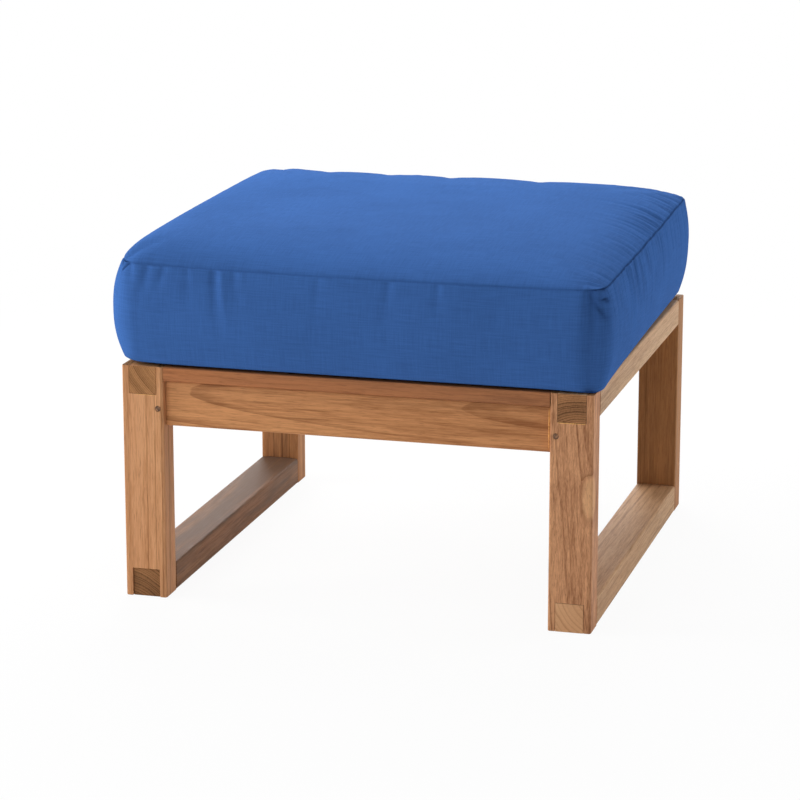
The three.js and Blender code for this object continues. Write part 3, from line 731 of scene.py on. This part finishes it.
def cushion_patches(across, along, levels):
    patches = []
    for name, height, forward in (("top", 1.0, 1), ("bottom", 0.0, -1)):
        a, b = np.meshgrid(across, along, indexing="ij")
        level = np.full_like(a, height)
        u = forward * a * cushion_half
        patches.append(Patch(name, a, b, level, u, b * cushion_half, a, forward))
    for corner, (name, line, fixed, forward) in enumerate((
            ("front", across, -1, 1), ("right", along, 1, 1),
            ("rear", across[::-1], 1, -1), ("left", along[::-1], -1, -1))):
        run, level = np.meshgrid(line, levels, indexing="ij")
        still = np.full_like(run, fixed)
        a, b = (run, still) if name in ("front", "rear") else (still, run)
        u = (2 * corner + 1 + forward * run) * cushion_half
        patches.append(Patch(name, a, b, level, u, level * boxing_height, run, forward))
    return patches


def join_patches(grids):
    """Numbers the grids' points, with one number for the points that seams share."""
    points = np.concatenate([grid.reshape(-1, 3) for grid in grids])
    _, first, number = np.unique(np.round(points / (0.001 * mm)).astype(np.int64), axis=0,
                                 return_index=True, return_inverse=True)
    ends = np.cumsum([grid[..., 0].size for grid in grids])
    numbers = np.split(number.ravel(), ends[:-1])
    return len(first), [part.reshape(grid.shape[:2]) for part, grid in zip(numbers, grids)]


def patch_corners(grid, name):
    """The four corners of each cell of a grid, turned so that its face looks outwards."""
    cells = [grid[:-1, :-1], grid[1:, :-1], grid[1:, 1:], grid[:-1, 1:]]
    if name == "bottom":
        cells.reverse()
    return np.stack([cell.reshape(-1, *cell.shape[2:]) for cell in cells], axis=1)


def cover_mesh(name, patches, grids, marks=()):
    """One mesh of all patches. Marks are values on its points, by name, for each patch."""
    count, numbers = join_patches([cushion_form(p.a, p.b, p.level)[0] for p in patches])
    points = np.zeros((count, 3))
    for number, grid in zip(numbers, grids):
        points[number] = grid
    faces = np.concatenate([patch_corners(number, p.name) for number, p in zip(numbers, patches)])
    mesh = bpy.data.meshes.new(name)
    mesh.from_pydata(points.tolist(), [], faces.tolist())
    lengths = np.concatenate([patch_corners(np.stack([p.u, p.v], axis=-1), p.name).reshape(-1, 2)
                              for p in patches])
    mesh.uv_layers.new(name="cloth").data.foreach_set("uv", lengths.astype(np.float32).ravel())
    for mark, values in dict(marks).items():
        size = values[0].shape[2:]
        marked = np.zeros((count, *size))
        for number, value in zip(numbers, values):
            marked[number] = value
        kind, field = ("FLOAT_VECTOR", "vector") if size else ("FLOAT", "value")
        layer = mesh.attributes.new(mark, kind, "POINT")
        layer.data.foreach_set(field, marked.astype(np.float32).ravel())
    return mesh, numbers


# The cloth: the cover is cut a little too large for its seams, and air swells it

sim_cell = 8 * mm
sim_frames = 20
sim_start_noise = 0.25 * mm
pin_reach = 1 * mm
ease_reach = 70 * mm
move_cap = 10 * mm
smooth_rounds = 60
random_seed = 7
calm_front_left = 0.8
top_wrinkle_share = 0.5
cloth_settings = {
    "quality": 6, "mass": 0.3, "tension_stiffness": 30, "compression_stiffness": 30,
    "shear_stiffness": 8, "bending_stiffness": 0.4, "use_pressure": True,
    "uniform_pressure_force": 4.0, "vertex_group_mass": "pinned", "pin_stiffness": 1.0,
    "vertex_group_shrink": "eased", "shrink_min": 0.0, "shrink_max": -0.045}


def seam_distance(patch):
    """How far each point lies from the nearest seam, along the cloth."""
    if patch.name in ("top", "bottom"):
        return cushion_half * (1 - np.maximum(np.abs(patch.a), np.abs(patch.b)))
    return boxing_height * np.minimum(patch.level, 1 - patch.level)


def swelling():
    """Wrinkles of the cover, as moves on a coarse grid, from a cloth simulation."""
    cells = int(round(2 * cushion_half / sim_cell))
    line = np.linspace(-1, 1, cells + 1)
    levels = np.linspace(0, 1, int(round(boxing_height / sim_cell)) + 1)
    patches = cushion_patches(line, line, levels)
    grids = [cushion_form(p.a, p.b, p.level)[0] for p in patches]
    mesh, numbers = cover_mesh("cloth", patches, grids)
    piece = add_object("cloth", mesh)

    dice = np.random.default_rng(random_seed)
    start = np.array([vertex.co for vertex in mesh.vertices])
    start += dice.normal(0, sim_start_noise, start.shape)
    mesh.vertices.foreach_set("co", start.astype(np.float32).ravel())
    pinned = piece.vertex_groups.new(name="pinned")
    eased = piece.vertex_groups.new(name="eased")
    for patch, number in zip(patches, numbers):
        distances = seam_distance(patch)
        near = np.exp(-(distances / ease_reach) ** 2)
        for vertex, distance, weight in zip(number.ravel(), distances.ravel(), near.ravel()):
            held = 1.0 if distance < pin_reach or patch.name == "bottom" else 0.0
            pinned.add([int(vertex)], held, "REPLACE")
            eased.add([int(vertex)], float(weight), "REPLACE")

    cloth = piece.modifiers.new("cloth", "CLOTH")
    for name, value in cloth_settings.items():
        setattr(cloth.settings, name, value)
    cloth.settings.effector_weights.gravity = 0
    cloth.point_cache.frame_start = 1
    cloth.point_cache.frame_end = sim_frames
    for step in range(1, sim_frames + 1):
        bpy.context.scene.frame_set(step)
    seen = piece.evaluated_get(bpy.context.evaluated_depsgraph_get())
    moved = np.array([vertex.co for vertex in seen.data.vertices]) - start
    bpy.context.scene.frame_set(1)
    size = np.linalg.norm(moved, axis=1, keepdims=True)
    moved *= np.minimum(1, move_cap / np.maximum(size, tiny))

    edges = np.array([edge.vertices[:] for edge in mesh.edges])
    slow = moved.copy()
    degree = np.bincount(edges.ravel(), minlength=len(slow))[:, None]
    for _ in range(smooth_rounds):
        total = np.zeros_like(slow)
        np.add.at(total, edges[:, 0], slow[edges[:, 1]])
        np.add.at(total, edges[:, 1], slow[edges[:, 0]])
        slow = 0.5 * slow + 0.5 * total / degree
    wrinkles = moved - slow
    bpy.data.objects.remove(piece)
    moves = {p.name: wrinkles[number] for p, number in zip(patches, numbers)}
    return line, levels, moves


def blend_weights(places, line):
    """Rows that read a smooth curve through values on a line at these places."""
    step = line[1] - line[0]
    at = np.clip((places - line[0]) / step, 0, len(line) - 1 - tiny)
    cell = at.astype(int)
    t = at - cell
    shares = [(-t + 2 * t ** 2 - t ** 3) / 2, (2 - 5 * t ** 2 + 3 * t ** 3) / 2,
              (t + 4 * t ** 2 - 3 * t ** 3) / 2, (-t ** 2 + t ** 3) / 2]
    rows = np.zeros((len(places), len(line)))
    for offset, share in zip((-1, 0, 1, 2), shares):
        np.add.at(rows, (np.arange(len(places)), np.clip(cell + offset, 0, len(line) - 1)), share)
    return rows


# Seams, tucks and creases

seam_depth = 1.2 * mm
seam_width = 0.9 * mm
seam_roll = 0.3 * mm
seam_roll_reach = 3.2 * mm
crease_start = 2 * mm
crease_widening = 0.7
crease_lean_power = 1.5

# Each crease: its patch, its place along the seam as a share from -1 to 1, its depth and
# width, how far it runs from the seam, and how far it leans on the way
Crease = namedtuple("Crease", "patch place depth width reach lean")
creases = []


def add_crease(patch, place, *sizes):
    """Adds a crease whose sizes are given in millimetres."""
    creases.append(Crease(patch, place, *(size * mm for size in sizes)))


for patch, rows in {
        "front": ((-0.95, 2.0, 5, 36, 5), (-0.87, 1.9, 4, 34, -6), (-0.80, 1.5, 4, 30, -7),
                  (-0.70, 1.1, 4, 44, 3), (-0.585, 2.6, 4.5, 62, 5), (-0.55, -1.0, 3.5, 60, 5),
                  (-0.50, 1.3, 5, 44, 4), (-0.15, 0.8, 4, 60, -3), (0.14, 1.4, 4.5, 44, -2),
                  (0.34, 1.3, 5, 40, 2), (0.97, 7, 9, 180, 2)),
        "right": ((-1.03, 7, 9, 180, 2), (-0.62, 1.2, 4, 60, 6), (-0.50, 2.4, 4, 64, 9),
                  (-0.43, -1.6, 5, 95, 10), (-0.34, 2.0, 4, 56, 8), (-0.22, 1.2, 4, 46, 6)),
        "top_right": ((0.42, 2.6, 3.2, 62, 4), (0.30, 1.8, 3.2, 52, 3), (0.12, 2.0, 3.2, 50, 3)),
}.items():
    for row in rows:
        add_crease(patch, *row)
for place in (-0.65, -0.365, -0.08, 0.335):
    add_crease("top_rear", place, 1.8, 24, 80, 6)
    add_crease("top_rear", place, 1.9, 6, 52, 6)

# Short tucks where the seams turn the front corners: the patch, how far each lies from
# the corner and below the seam, its half length and half width, depth and slope. The rows
# give the sizes in millimetres. Three go round the front right corner, and so lie on both
# of its patches.
Tuck = namedtuple("Tuck", "patch corner aside below length width depth slope")
tuck_rows = [("front", -1, 5, 7, 7, 1.8, 2.4, 0.9), ("front", -1, 10, 3, 7, 1.4, 1.5, 0.2),
             ("left", -1, 7, 2, 8, 1.8, 2.6, 0.4), ("right", -1, 28, 16, 12, 2.2, 1.3, -1.7)]
for past, *sizes, slope in ((13, 14, 9, 1.9, 3.0, 0.1), (13, 0.8, 9, 1.5, 2.4, 0.0),
                            (1, 25, 8, 4.5, 1.4, 1.2)):
    tuck_rows += [("front", 1, -past, *sizes, slope), ("right", -1, past, *sizes, -slope)]
tucks = [Tuck(patch, corner, *(size * mm for size in sizes), slope)
         for patch, corner, *sizes, slope in tuck_rows]
# How much painted shade a tuck gives for each millimetre of its depth
tuck_shade = 0.3 / mm

# How much painted shade darkens each seam's line, and how much more by the front corners
seam_shades = {"front": (0.18, 0.75), "right": (0.55, 0.15),
               "rear": (0.4, 0.0), "left": (0.35, 0.6)}
seam_line_width = 0.9 * mm
corner_shade_reach = 11 * mm

# The right seam gathers the cloth: how far the gathers reach on the top and down the
# boxing, where along the boxing the pleats are strongest, and over what share of it
gather_reach = 40 * mm
pleat_reach = 75 * mm
pleat_strength = 0.85
pleat_middle = -0.3
pleat_spread = 0.6

# The puckers of each seam: how many, and their depth and reach in millimetres. The ranges
# are those that each pucker's share of that depth and reach, its width in millimetres and
# the reach of the pleat below it are drawn from.
puckers = {"right": (26, 1.5, 60), "rear": (9, 0.5, 40), "left": (8, 0.5, 40)}
pucker_span = 0.94
pucker_jitter = 0.012
pleat_jitter = 0.006
depth_range = (0.25, 1.25)
reach_range = (0.35, 1.1)
width_range = (1.9, 3.8)
pleat_range = (25, 110)


def add_random_creases():
    """Fine puckers where the seams gather the top, and pleats below them."""
    dice = np.random.default_rng(random_seed + 1)
    for name, (count, depth, spread) in puckers.items():
        even = np.linspace(-pucker_span, pucker_span, count)
        for place in even + dice.normal(0, pucker_jitter, count):
            deep = depth * dice.uniform(*depth_range)
            wide = dice.uniform(*width_range)
            lean = 6 - 4 * place + dice.normal(0, 4)
            far = dice.uniform(*reach_range) * spread
            add_crease(f"top_{name}", place, deep, wide, far, lean)
            add_crease(name, place + dice.normal(0, pleat_jitter), 0.75 * deep, 1.2 * wide,
                       dice.uniform(*pleat_range), dice.normal(0, 3))


def crease_depth(crease, run, distance):
    """How deep a crease lies at each point, given its run along the seam and distance."""
    far = distance / crease.reach
    middle = crease.place * cushion_half + crease.lean * far ** crease_lean_power
    width = crease.width * (1 + crease_widening * far)
    open_up = 1 - np.exp(-distance / crease_start)
    return crease.depth * open_up * np.exp(-((run - middle) / width) ** 2 - far ** 2)


def tuck_depth(tuck, run, distance):
    along = run - tuck.corner * (cushion_half - tuck.aside)
    across = distance - tuck.below - tuck.slope * along * tuck.corner
    return tuck.depth * np.exp(-(along / tuck.length) ** 2 - (across / tuck.width) ** 2)


def patch_runs(patch):
    """For each upper seam of a patch: the run along it and the distance from it."""
    a, b = patch.a, patch.b
    if patch.name == "bottom":
        return {}
    if patch.name == "top":
        shares = {"top_front": (a, 1 + b), "top_right": (b, 1 - a),
                  "top_rear": (a, 1 - b), "top_left": (b, 1 + a)}
        return {name: (run * cushion_half, away * cushion_half)
                for name, (run, away) in shares.items()}
    return {patch.name: (patch.run * cushion_half, (1 - patch.level) * boxing_height)}


def crease_total(patch):
    runs = patch_runs(patch)
    total = np.zeros_like(patch.a)
    for marks, depth in ((creases, crease_depth), (tucks, tuck_depth)):
        for mark in marks:
            if mark.patch in runs:
                total += depth(mark, *runs[mark.patch])
    return total


def fold_shade(patch):
    """How dark the cloth looks in its seams and tucks, where hardly any light reaches it."""
    total = np.zeros_like(patch.a)
    for name, (run, distance) in patch_runs(patch).items():
        plain, more = seam_shades[name.replace("top_", "")]
        aside = -run if name.endswith(("right", "left")) else np.abs(run)
        from_corner = cushion_half - aside
        shade = plain + more * np.exp(-(from_corner / corner_shade_reach) ** 2)
        total = np.maximum(total, shade * np.exp(-(distance / seam_line_width) ** 2))
        for tuck in tucks:
            if tuck.patch == name:
                total = np.maximum(total, tuck_shade * tuck_depth(tuck, run, distance))
    return total


def gathers(patch):
    """The run along the right seam, the distance from it, and how much it gathers the cloth, for
    the pleats' relief and painted shade.
    """
    run = patch.b * cushion_half
    if patch.name == "top":
        away = (1 - patch.a) * cushion_half
        strength = np.exp(-(away / gather_reach) ** 2) * (0.65 + 0.35 * np.sin(patch.b * 3 - 0.2))
    elif patch.name == "right":
        away = (1 - patch.level) * boxing_height
        middle = ((patch.b - pleat_middle) / pleat_spread) ** 2
        strength = pleat_strength * np.exp(-(away / pleat_reach) ** 2 - middle)
    else:
        away = np.zeros_like(run)
        strength = np.zeros_like(run)
    return np.stack([run - 0.1 * away, away, strength], axis=-1)


# Zipper opening in the rear boxing

slot_half_length = 250 * mm
slot_half_height = 5.5 * mm
tape_low, tape_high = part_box("zipper_upper_tape")
zipper_middle = (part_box("zipper_lower_tape")[0].z + tape_high.z) / 2
slot_floor = tape_low.y - 0.4 * mm
slot_face = tape_high.y + 1.5 * mm
valley_reach = 26 * mm
rear_lift = (upper_corner_shifts[1, 1][2] + upper_corner_shifts[-1, 1][2]) / 2 * mm
rear_height = boxing_height + rear_lift
slot_level = (zipper_middle - lower_seam) / rear_height


def sink_zipper(patch, grid):
    """Draws the rear boxing in towards the zipper's tapes, and opens it over them."""
    run = patch.a * cushion_half
    rise = (patch.level - slot_level) * rear_height
    past_x = np.maximum(np.abs(run) - slot_half_length, 0)
    past_z = np.maximum(np.abs(rise) - slot_half_height, 0)
    share = np.clip(1 - np.hypot(past_x, past_z) / valley_reach, 0, 1)
    share = (share * share * (3 - 2 * share))[..., None]
    goal = np.stack([run, np.full_like(run, slot_face), zipper_middle + rise], axis=-1)
    grid = grid + share * (goal - grid)
    inside = (past_x <= 0) & (past_z <= 0)
    grid[inside, 1] = slot_floor
    return grid


# How far lines of the final cover lie from a seam and from the slot's edges, how far any
# other line keeps from those, and how far apart the lines are elsewhere
near_seam = np.array([0, 0.5, 1.1, 1.9, 3.0, 4.6]) * mm
near_slot = np.array([-0.1, 0.5, 1.6]) * mm
slot_clearance = 1.2 * mm
cover_cell = 2.7 * mm


def grid_lines(low, high, length):
    """Grid lines from low to high, over this length of cloth, closer together at both seams."""
    near = near_seam / length * (high - low)
    count = int((length - 2 * near_seam[-1]) / cover_cell)
    inner = np.linspace(low + near[-1], high - near[-1], count)
    return np.concatenate([low + near, inner[1:-1], (high - near)[::-1]])


def add_slot_lines(lines, middle, half, scale):
    """Puts lines along the slot's edges, in place of those that lie too close to them."""
    slot = (half + near_slot) / scale
    far = np.min(np.abs(np.abs(lines - middle)[:, None] - slot), axis=1) > slot_clearance / scale
    return np.sort(np.concatenate([lines[far], middle - slot, middle + slot]))


def shape_seams(patch, grid, out):
    """Sinks the seams and rolls the cloth up beside them."""
    up = np.array([0.0, 0.0, 1.0])
    distance = seam_distance(patch)[..., None]
    groove = seam_depth * np.exp(-(distance / seam_width) ** 2)
    roll = seam_roll * distance / seam_roll_reach * np.exp(1 - distance / seam_roll_reach)
    if patch.name == "top":
        return grid - (out + up) * groove * 0.7 + up * roll
    if patch.name == "bottom":
        return grid - out * groove * 0.7
    upper = (patch.level > 0.5)[..., None]
    return grid - (out + up * upper) * groove * 0.7 + out * roll


def shape_cover(patch, swell):
    grid, out = cushion_form(patch.a, patch.b, patch.level)
    if swell and patch.name != "bottom":
        line, levels, moves = swell
        first = blend_weights(patch.forward * patch.run[:, 0], line)
        if patch.name == "top":
            second = blend_weights(patch.b[0, :], line)
            share = top_wrinkle_share
        else:
            second = blend_weights(patch.level[0, :], levels)
            share = 1
        share = share * (1 - calm_front_left * ((1 - patch.a) * (1 - patch.b) / 4)[..., None])
        grid = grid + share * np.einsum("ik,klc,jl->ijc", first, moves[patch.name], second)
    depth = crease_total(patch)[..., None]
    inward = np.array([0.0, 0.0, -1.0]) if patch.name == "top" else -out
    if patch.name != "bottom":
        grid = grid + inward * depth
    grid = shape_seams(patch, grid, out)
    if patch.name == "rear":
        grid = sink_zipper(patch, grid)
    return grid


# The canvas: how far apart its threads are, and its slubs' length and thickness, as scales
thread_step = 0.55 * mm
slub_long = 28.0
slub_fine = 620.0


def canvas():
    """Solution-dyed acrylic canvas in a plain weave."""
    shader = Shader("cushion_canvas", Specular_IOR_Level=0.006)
    u, v, _ = shader.parts(shader.place("UV"))
    warp = (u * (math.pi / thread_step)).wave()
    weft = (v * (math.pi / thread_step)).wave()
    over = (warp * weft).rise(-0.3, 0.3)
    weave = warp.absolute() * over + weft.absolute() * (1 - over)
    slub_across = shader.noise(shader.vector(u * slub_long, v * slub_fine, 0.0), 1.0, 3.0)
    slub_along = shader.noise(shader.vector(u * slub_fine, v * slub_long, 3.0), 1.0, 3.0)
    cloud = shader.noise(shader.place(), 9.0, 2.0)
    tone = weave * 0.3 + slub_across * 0.5 + slub_along * 0.4 + cloud * 0.25
    colour = shader.mix(tone.rise(0.35, 1.1), (52, 86, 142), (67, 110, 179))

    # The pleats below the right seam: their valleys sink in the relief and are also darkened with
    # painted shade
    run, away, strength = shader.parts(shader.attribute("gather", "Vector"))
    pleats = shader.noise(shader.vector(run * 150.0, away * 9.0, 0.0), 1.0, 2.0)
    uneven = shader.noise(shader.vector(run * 45.0, away * 14.0, 5.0), 1.0, 1.0).rise(0.35, 0.65)
    line = (1 - ((pleats - 0.5).absolute() * 6).smallest(1)) * strength * uneven
    # Painted shade: the seams, tucks and pleat valleys are darkened towards deep navy
    fold = shader.attribute("fold_shade", "Fac")
    colour = shader.mix(fold + line * 0.35, colour, (17, 34, 68))
    height = weave * 0.7 + slub_across * 0.5 + slub_along * 0.4 - line * 14
    return shader.finish(colour, 0.86 + weave * 0.08, height, 0.35, 0.12 * mm)


def add_cushion():
    add_random_creases()
    swell = swelling()
    along = grid_lines(-1, 1, 2 * cushion_half)
    across = add_slot_lines(along, 0, slot_half_length, cushion_half)
    levels = add_slot_lines(grid_lines(0, 1, boxing_height), slot_level, slot_half_height,
                            rear_height)
    patches = cushion_patches(across, along, levels)
    marks = {"gather": [gathers(patch) for patch in patches],
             "fold_shade": [fold_shade(patch) for patch in patches]}
    grids = [shape_cover(patch, swell) for patch in patches]
    mesh, _ = cover_mesh("cushion_cover", patches, grids, marks)
    mesh.materials.append(canvas())
    mesh.shade_smooth()
    piece = add_object("cushion_cover", mesh)
    hand_over(piece, "cushion", "cushion_fabric", "cover_top_panel", "cover_boxing",
              "cover_bottom_panel", "foam_core", "fibre_pad")


# Zipper

tooth_pitch = 1.55 * mm
tooth_wire = 0.42 * mm
stitch_length = 2.6 * mm
stitch_pitch = 3.4 * mm
thread_radius = 0.22 * mm
stitch_setback = 3.2 * mm
stitch_lift = 0.35 * mm
tooth_turn = (math.pi / 2, 0.0, math.pi / 2 - 0.18)
tab_round = 2.4 * mm


def zipper_tape():
    shader = Shader("zipper_tape")
    x, _, z = shader.parts(shader.place())
    rib = (x * (2 * math.pi / (0.9 * mm)) + (z * (2 * math.pi / (1.8 * mm))).wave() * 0.9).wave()
    wear = shader.noise(shader.place(), 60.0, 3.0)
    colour = shader.mix(rib * 0.25 + wear * 0.6, (48, 80, 136), (66, 102, 162))
    return shader.finish(colour, 0.82 + rib * 0.06, rib, 0.5, 0.15 * mm)


def sewing_thread():
    shader = Shader("sewing_thread")
    x, _, z = shader.parts(shader.place())
    twist = ((x + z) * (2 * math.pi / (0.5 * mm))).wave()
    colour = shader.mix(twist * 0.5 + 0.5, (58, 92, 150), (92, 128, 190))
    return shader.finish(colour, 0.6 + twist * 0.05, twist, 0.3, 0.05 * mm)


def add_coil():
    low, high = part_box("zipper_coil")
    middle = (low + high) / 2
    count = int((high.x - low.x) / tooth_pitch)
    places = [(low.x + (index + 0.5) * tooth_pitch, middle.y, middle.z) for index in range(count)]
    piece = points_piece("coil_teeth", places)
    tree = Growth("coil_tree", Wire=tooth_wire, Width=(high.z - low.z) / 2 - tooth_wire,
                  Depth=(high.y - low.y) / 2 - tooth_wire)
    ring, wire = (tree.node("GeometryNodeCurvePrimitiveCircle", {"mode": "RADIUS"},
                            {"Resolution": sides, "Radius": radius})
                  for sides, radius in ((12, 1.0), (5, tree.value("Wire"))))
    size = tree.vector(tree.value("Width"), tree.value("Depth"), 1.0)
    oval = tree.node("GeometryNodeTransform", sockets={"Geometry": ring, "Scale": size})
    loop = tree.node("GeometryNodeCurveToMesh", sockets={"Curve": oval, "Profile Curve": wire})
    upright = tree.node("GeometryNodeTransform", sockets={"Geometry": loop, "Rotation": tooth_turn})
    tree.grow(piece, upright, nylon_finish)
    hand_over(piece, "cushion", "zipper_coil", "zipper_coil")


def add_stitches():
    """A row of stitches above the slot and one below it, on the folded edges."""
    places = []
    runs = int(2 * (slot_half_length + stitch_setback) / stitch_pitch)
    for side in (-1, 1):
        for index in range(runs):
            x = -slot_half_length - stitch_setback + (index + 0.5) * stitch_pitch
            z = zipper_middle + side * (slot_half_height + stitch_setback)
            places.append((x, slot_face + stitch_lift, z))
    piece = points_piece("slot_stitches", places)
    tree = Growth("stitch_tree", Length=stitch_length, Thread=thread_radius)
    bead = tree.node("GeometryNodeMeshUVSphere", sockets={"Segments": 8, "Rings": 6, "Radius": 1.0})
    thick = tree.value("Thread")
    size = tree.vector(tree.value("Length") * 0.5, thick, thick)
    tree.grow(piece, bead, thread_finish, Scale=size)
    hand_over(piece, "cushion", "cushion_fabric")


def add_zipper():
    tape = zipper_tape()
    for name in ("zipper_upper_tape", "zipper_lower_tape"):
        nodes[name].data.materials.clear()
        nodes[name].data.materials.append(tape)
    add_coil()
    add_stitches()
    for name, material, slot, body, edge in (
            ("zipper_closed_end_stop", nylon_finish, "zipper_coil", "cushion", 0.8 * mm),
            ("zipper_open_end_stop", nylon_finish, "zipper_coil", "cushion", 0.8 * mm),
            ("zipper_slider", metal_finish, "slider_metal", "zipper_slider", 0.35 * mm),
            ("zipper_pull", metal_finish, "slider_metal", "zipper_pull", 0.4 * mm)):
        piece = solid_copy(name, f"{name}_piece")
        ease_edges(piece, edge, angle=35, segments=3)
        if name == "zipper_pull":
            round_end(piece, tab_round, all_round=False)
        piece.data.materials.append(material)
        hand_over(piece, body, slot, name)


# Stage

floor_size = 40.0
floor_matte = (0.85, 0.85, 0.85, 1)
floor_glow = 0.94
shadow_reach = (0.7, 1.8)
world_light = 0.2
camera_place = (1.0417, -3.8645, 1.2112)
camera_yaw = math.radians(15.406)
camera_pitch = math.radians(14.099)
camera_lens = 138.45
sensor_width = 36.0

# Where each lamp stands and where it looks, its size and its power in watts
lamps = {"left": ((-2.8, -0.6, 1.8), (0, 0, 0.3), 2.0, 86),
         "right": ((3.0, 1.5, 1.3), (0, 0, 0.3), 2.0, 50),
         "rear": ((-0.6, 3.0, 1.8), (0, 0, 0.4), 2.2, 72),
         "top": ((-0.4, 1.3, 2.0), (0, 0.1, 0.4), 1.6, 22),
         "front": ((-1.4, -3.1, 1.4), (0, 0, 0.3), 2.4, 31)}


def bare_tree(owner):
    owner.use_nodes = True
    owner.node_tree.nodes.clear()
    return Nodes(owner.node_tree)


def seen_directly(tree):
    """1 where the camera, a mirror or a glass looks, and 0 where light is gathered."""
    camera, mirror, glass = (tree.node("ShaderNodeLightPath", output=f"Is {ray} Ray")
                             for ray in ("Camera", "Glossy", "Transmission"))
    return camera.largest(mirror).largest(glass)


def add_floor():
    bpy.ops.mesh.primitive_plane_add(size=floor_size, location=(0, 0, 0))
    floor = bpy.context.object
    floor.name = "floor"
    material = bpy.data.materials.new("white_floor")
    shader = bare_tree(material)
    away = shader.node("ShaderNodeVectorMath", {"operation": "LENGTH"},
                       {0: shader.node("ShaderNodeTexCoord", output="Object")}, output="Value")
    glowing = floor_glow + away.rise(*shadow_reach) * (1 - floor_glow)
    matte = shader.node("ShaderNodeBsdfDiffuse", sockets={"Color": floor_matte})
    glow = shader.node("ShaderNodeEmission", sockets={"Strength": 1.0})
    sockets = {0: seen_directly(shader) * glowing, 1: matte, 2: glow}
    both = shader.node("ShaderNodeMixShader", sockets=sockets)
    shader.end("ShaderNodeOutputMaterial", "Surface", both)
    floor.data.materials.append(material)


def add_world():
    world = bpy.data.worlds.new("studio")
    bpy.context.scene.world = world
    sky = bare_tree(world)
    strength = seen_directly(sky) * (1 - world_light) + world_light
    white = sky.node("ShaderNodeBackground", sockets={"Color": (1, 1, 1, 1), "Strength": strength})
    sky.end("ShaderNodeOutputWorld", "Surface", white)


def add_lamps():
    for name, (place, aim, size, power) in lamps.items():
        lamp = add_object(name, bpy.data.lights.new(name, "AREA"))
        lamp.data.shape = "SQUARE"
        lamp.data.size = size
        lamp.data.energy = power
        lamp.visible_camera = False
        lamp.location = place
        lamp.rotation_euler = (Vector(aim) - Vector(place)).to_track_quat("-Z", "Y").to_euler()


def add_camera():
    camera = add_object("camera", bpy.data.cameras.new("camera"))
    camera.data.lens = camera_lens
    camera.data.sensor_width = sensor_width
    camera.location = camera_place
    camera.rotation_euler = (math.pi / 2 - camera_pitch, 0, camera_yaw)
    bpy.context.scene.camera = camera


steel_finish = worn_metal("screw_steel", (900.0, 180.0), ((158, 158, 158), (112, 108, 102)),
                          (0.45, 0.75), 0.6, (0.26, 0.14, 0.12), 0.04 * mm)
metal_finish = worn_metal("slider_metal", (1400.0, 240.0), ((186, 187, 190), (138, 140, 146)),
                          (0.4, 0.7), 0.5, (0.24, 0.16, 0.0), 0.03 * mm)
nylon_finish = speckled("zipper_nylon", 220.0, ((40, 66, 112), (58, 88, 140)),
                        (0.38, 0.15), 0.2, 0.05 * mm)
glue_finish = speckled("dried_glue", 700.0, ((242, 184, 104), (206, 138, 70)),
                       (0.42, 0.2), 0.4, 0.1 * mm, spread=(0.35, 0.7))
thread_finish = sewing_thread()
add_floor()
add_world()
add_lamps()
add_camera()
bpy.context.scene.view_settings.view_transform = "Standard"
add_boards()
add_pegs()
add_glue_lines()
add_screws("slat_screws", "seat_slat_", slat_screw_length, upright=True)
add_screws("cleat_screws", "cleat_screw", cleat_screw_length, upright=False)
add_cushion()
add_zipper()
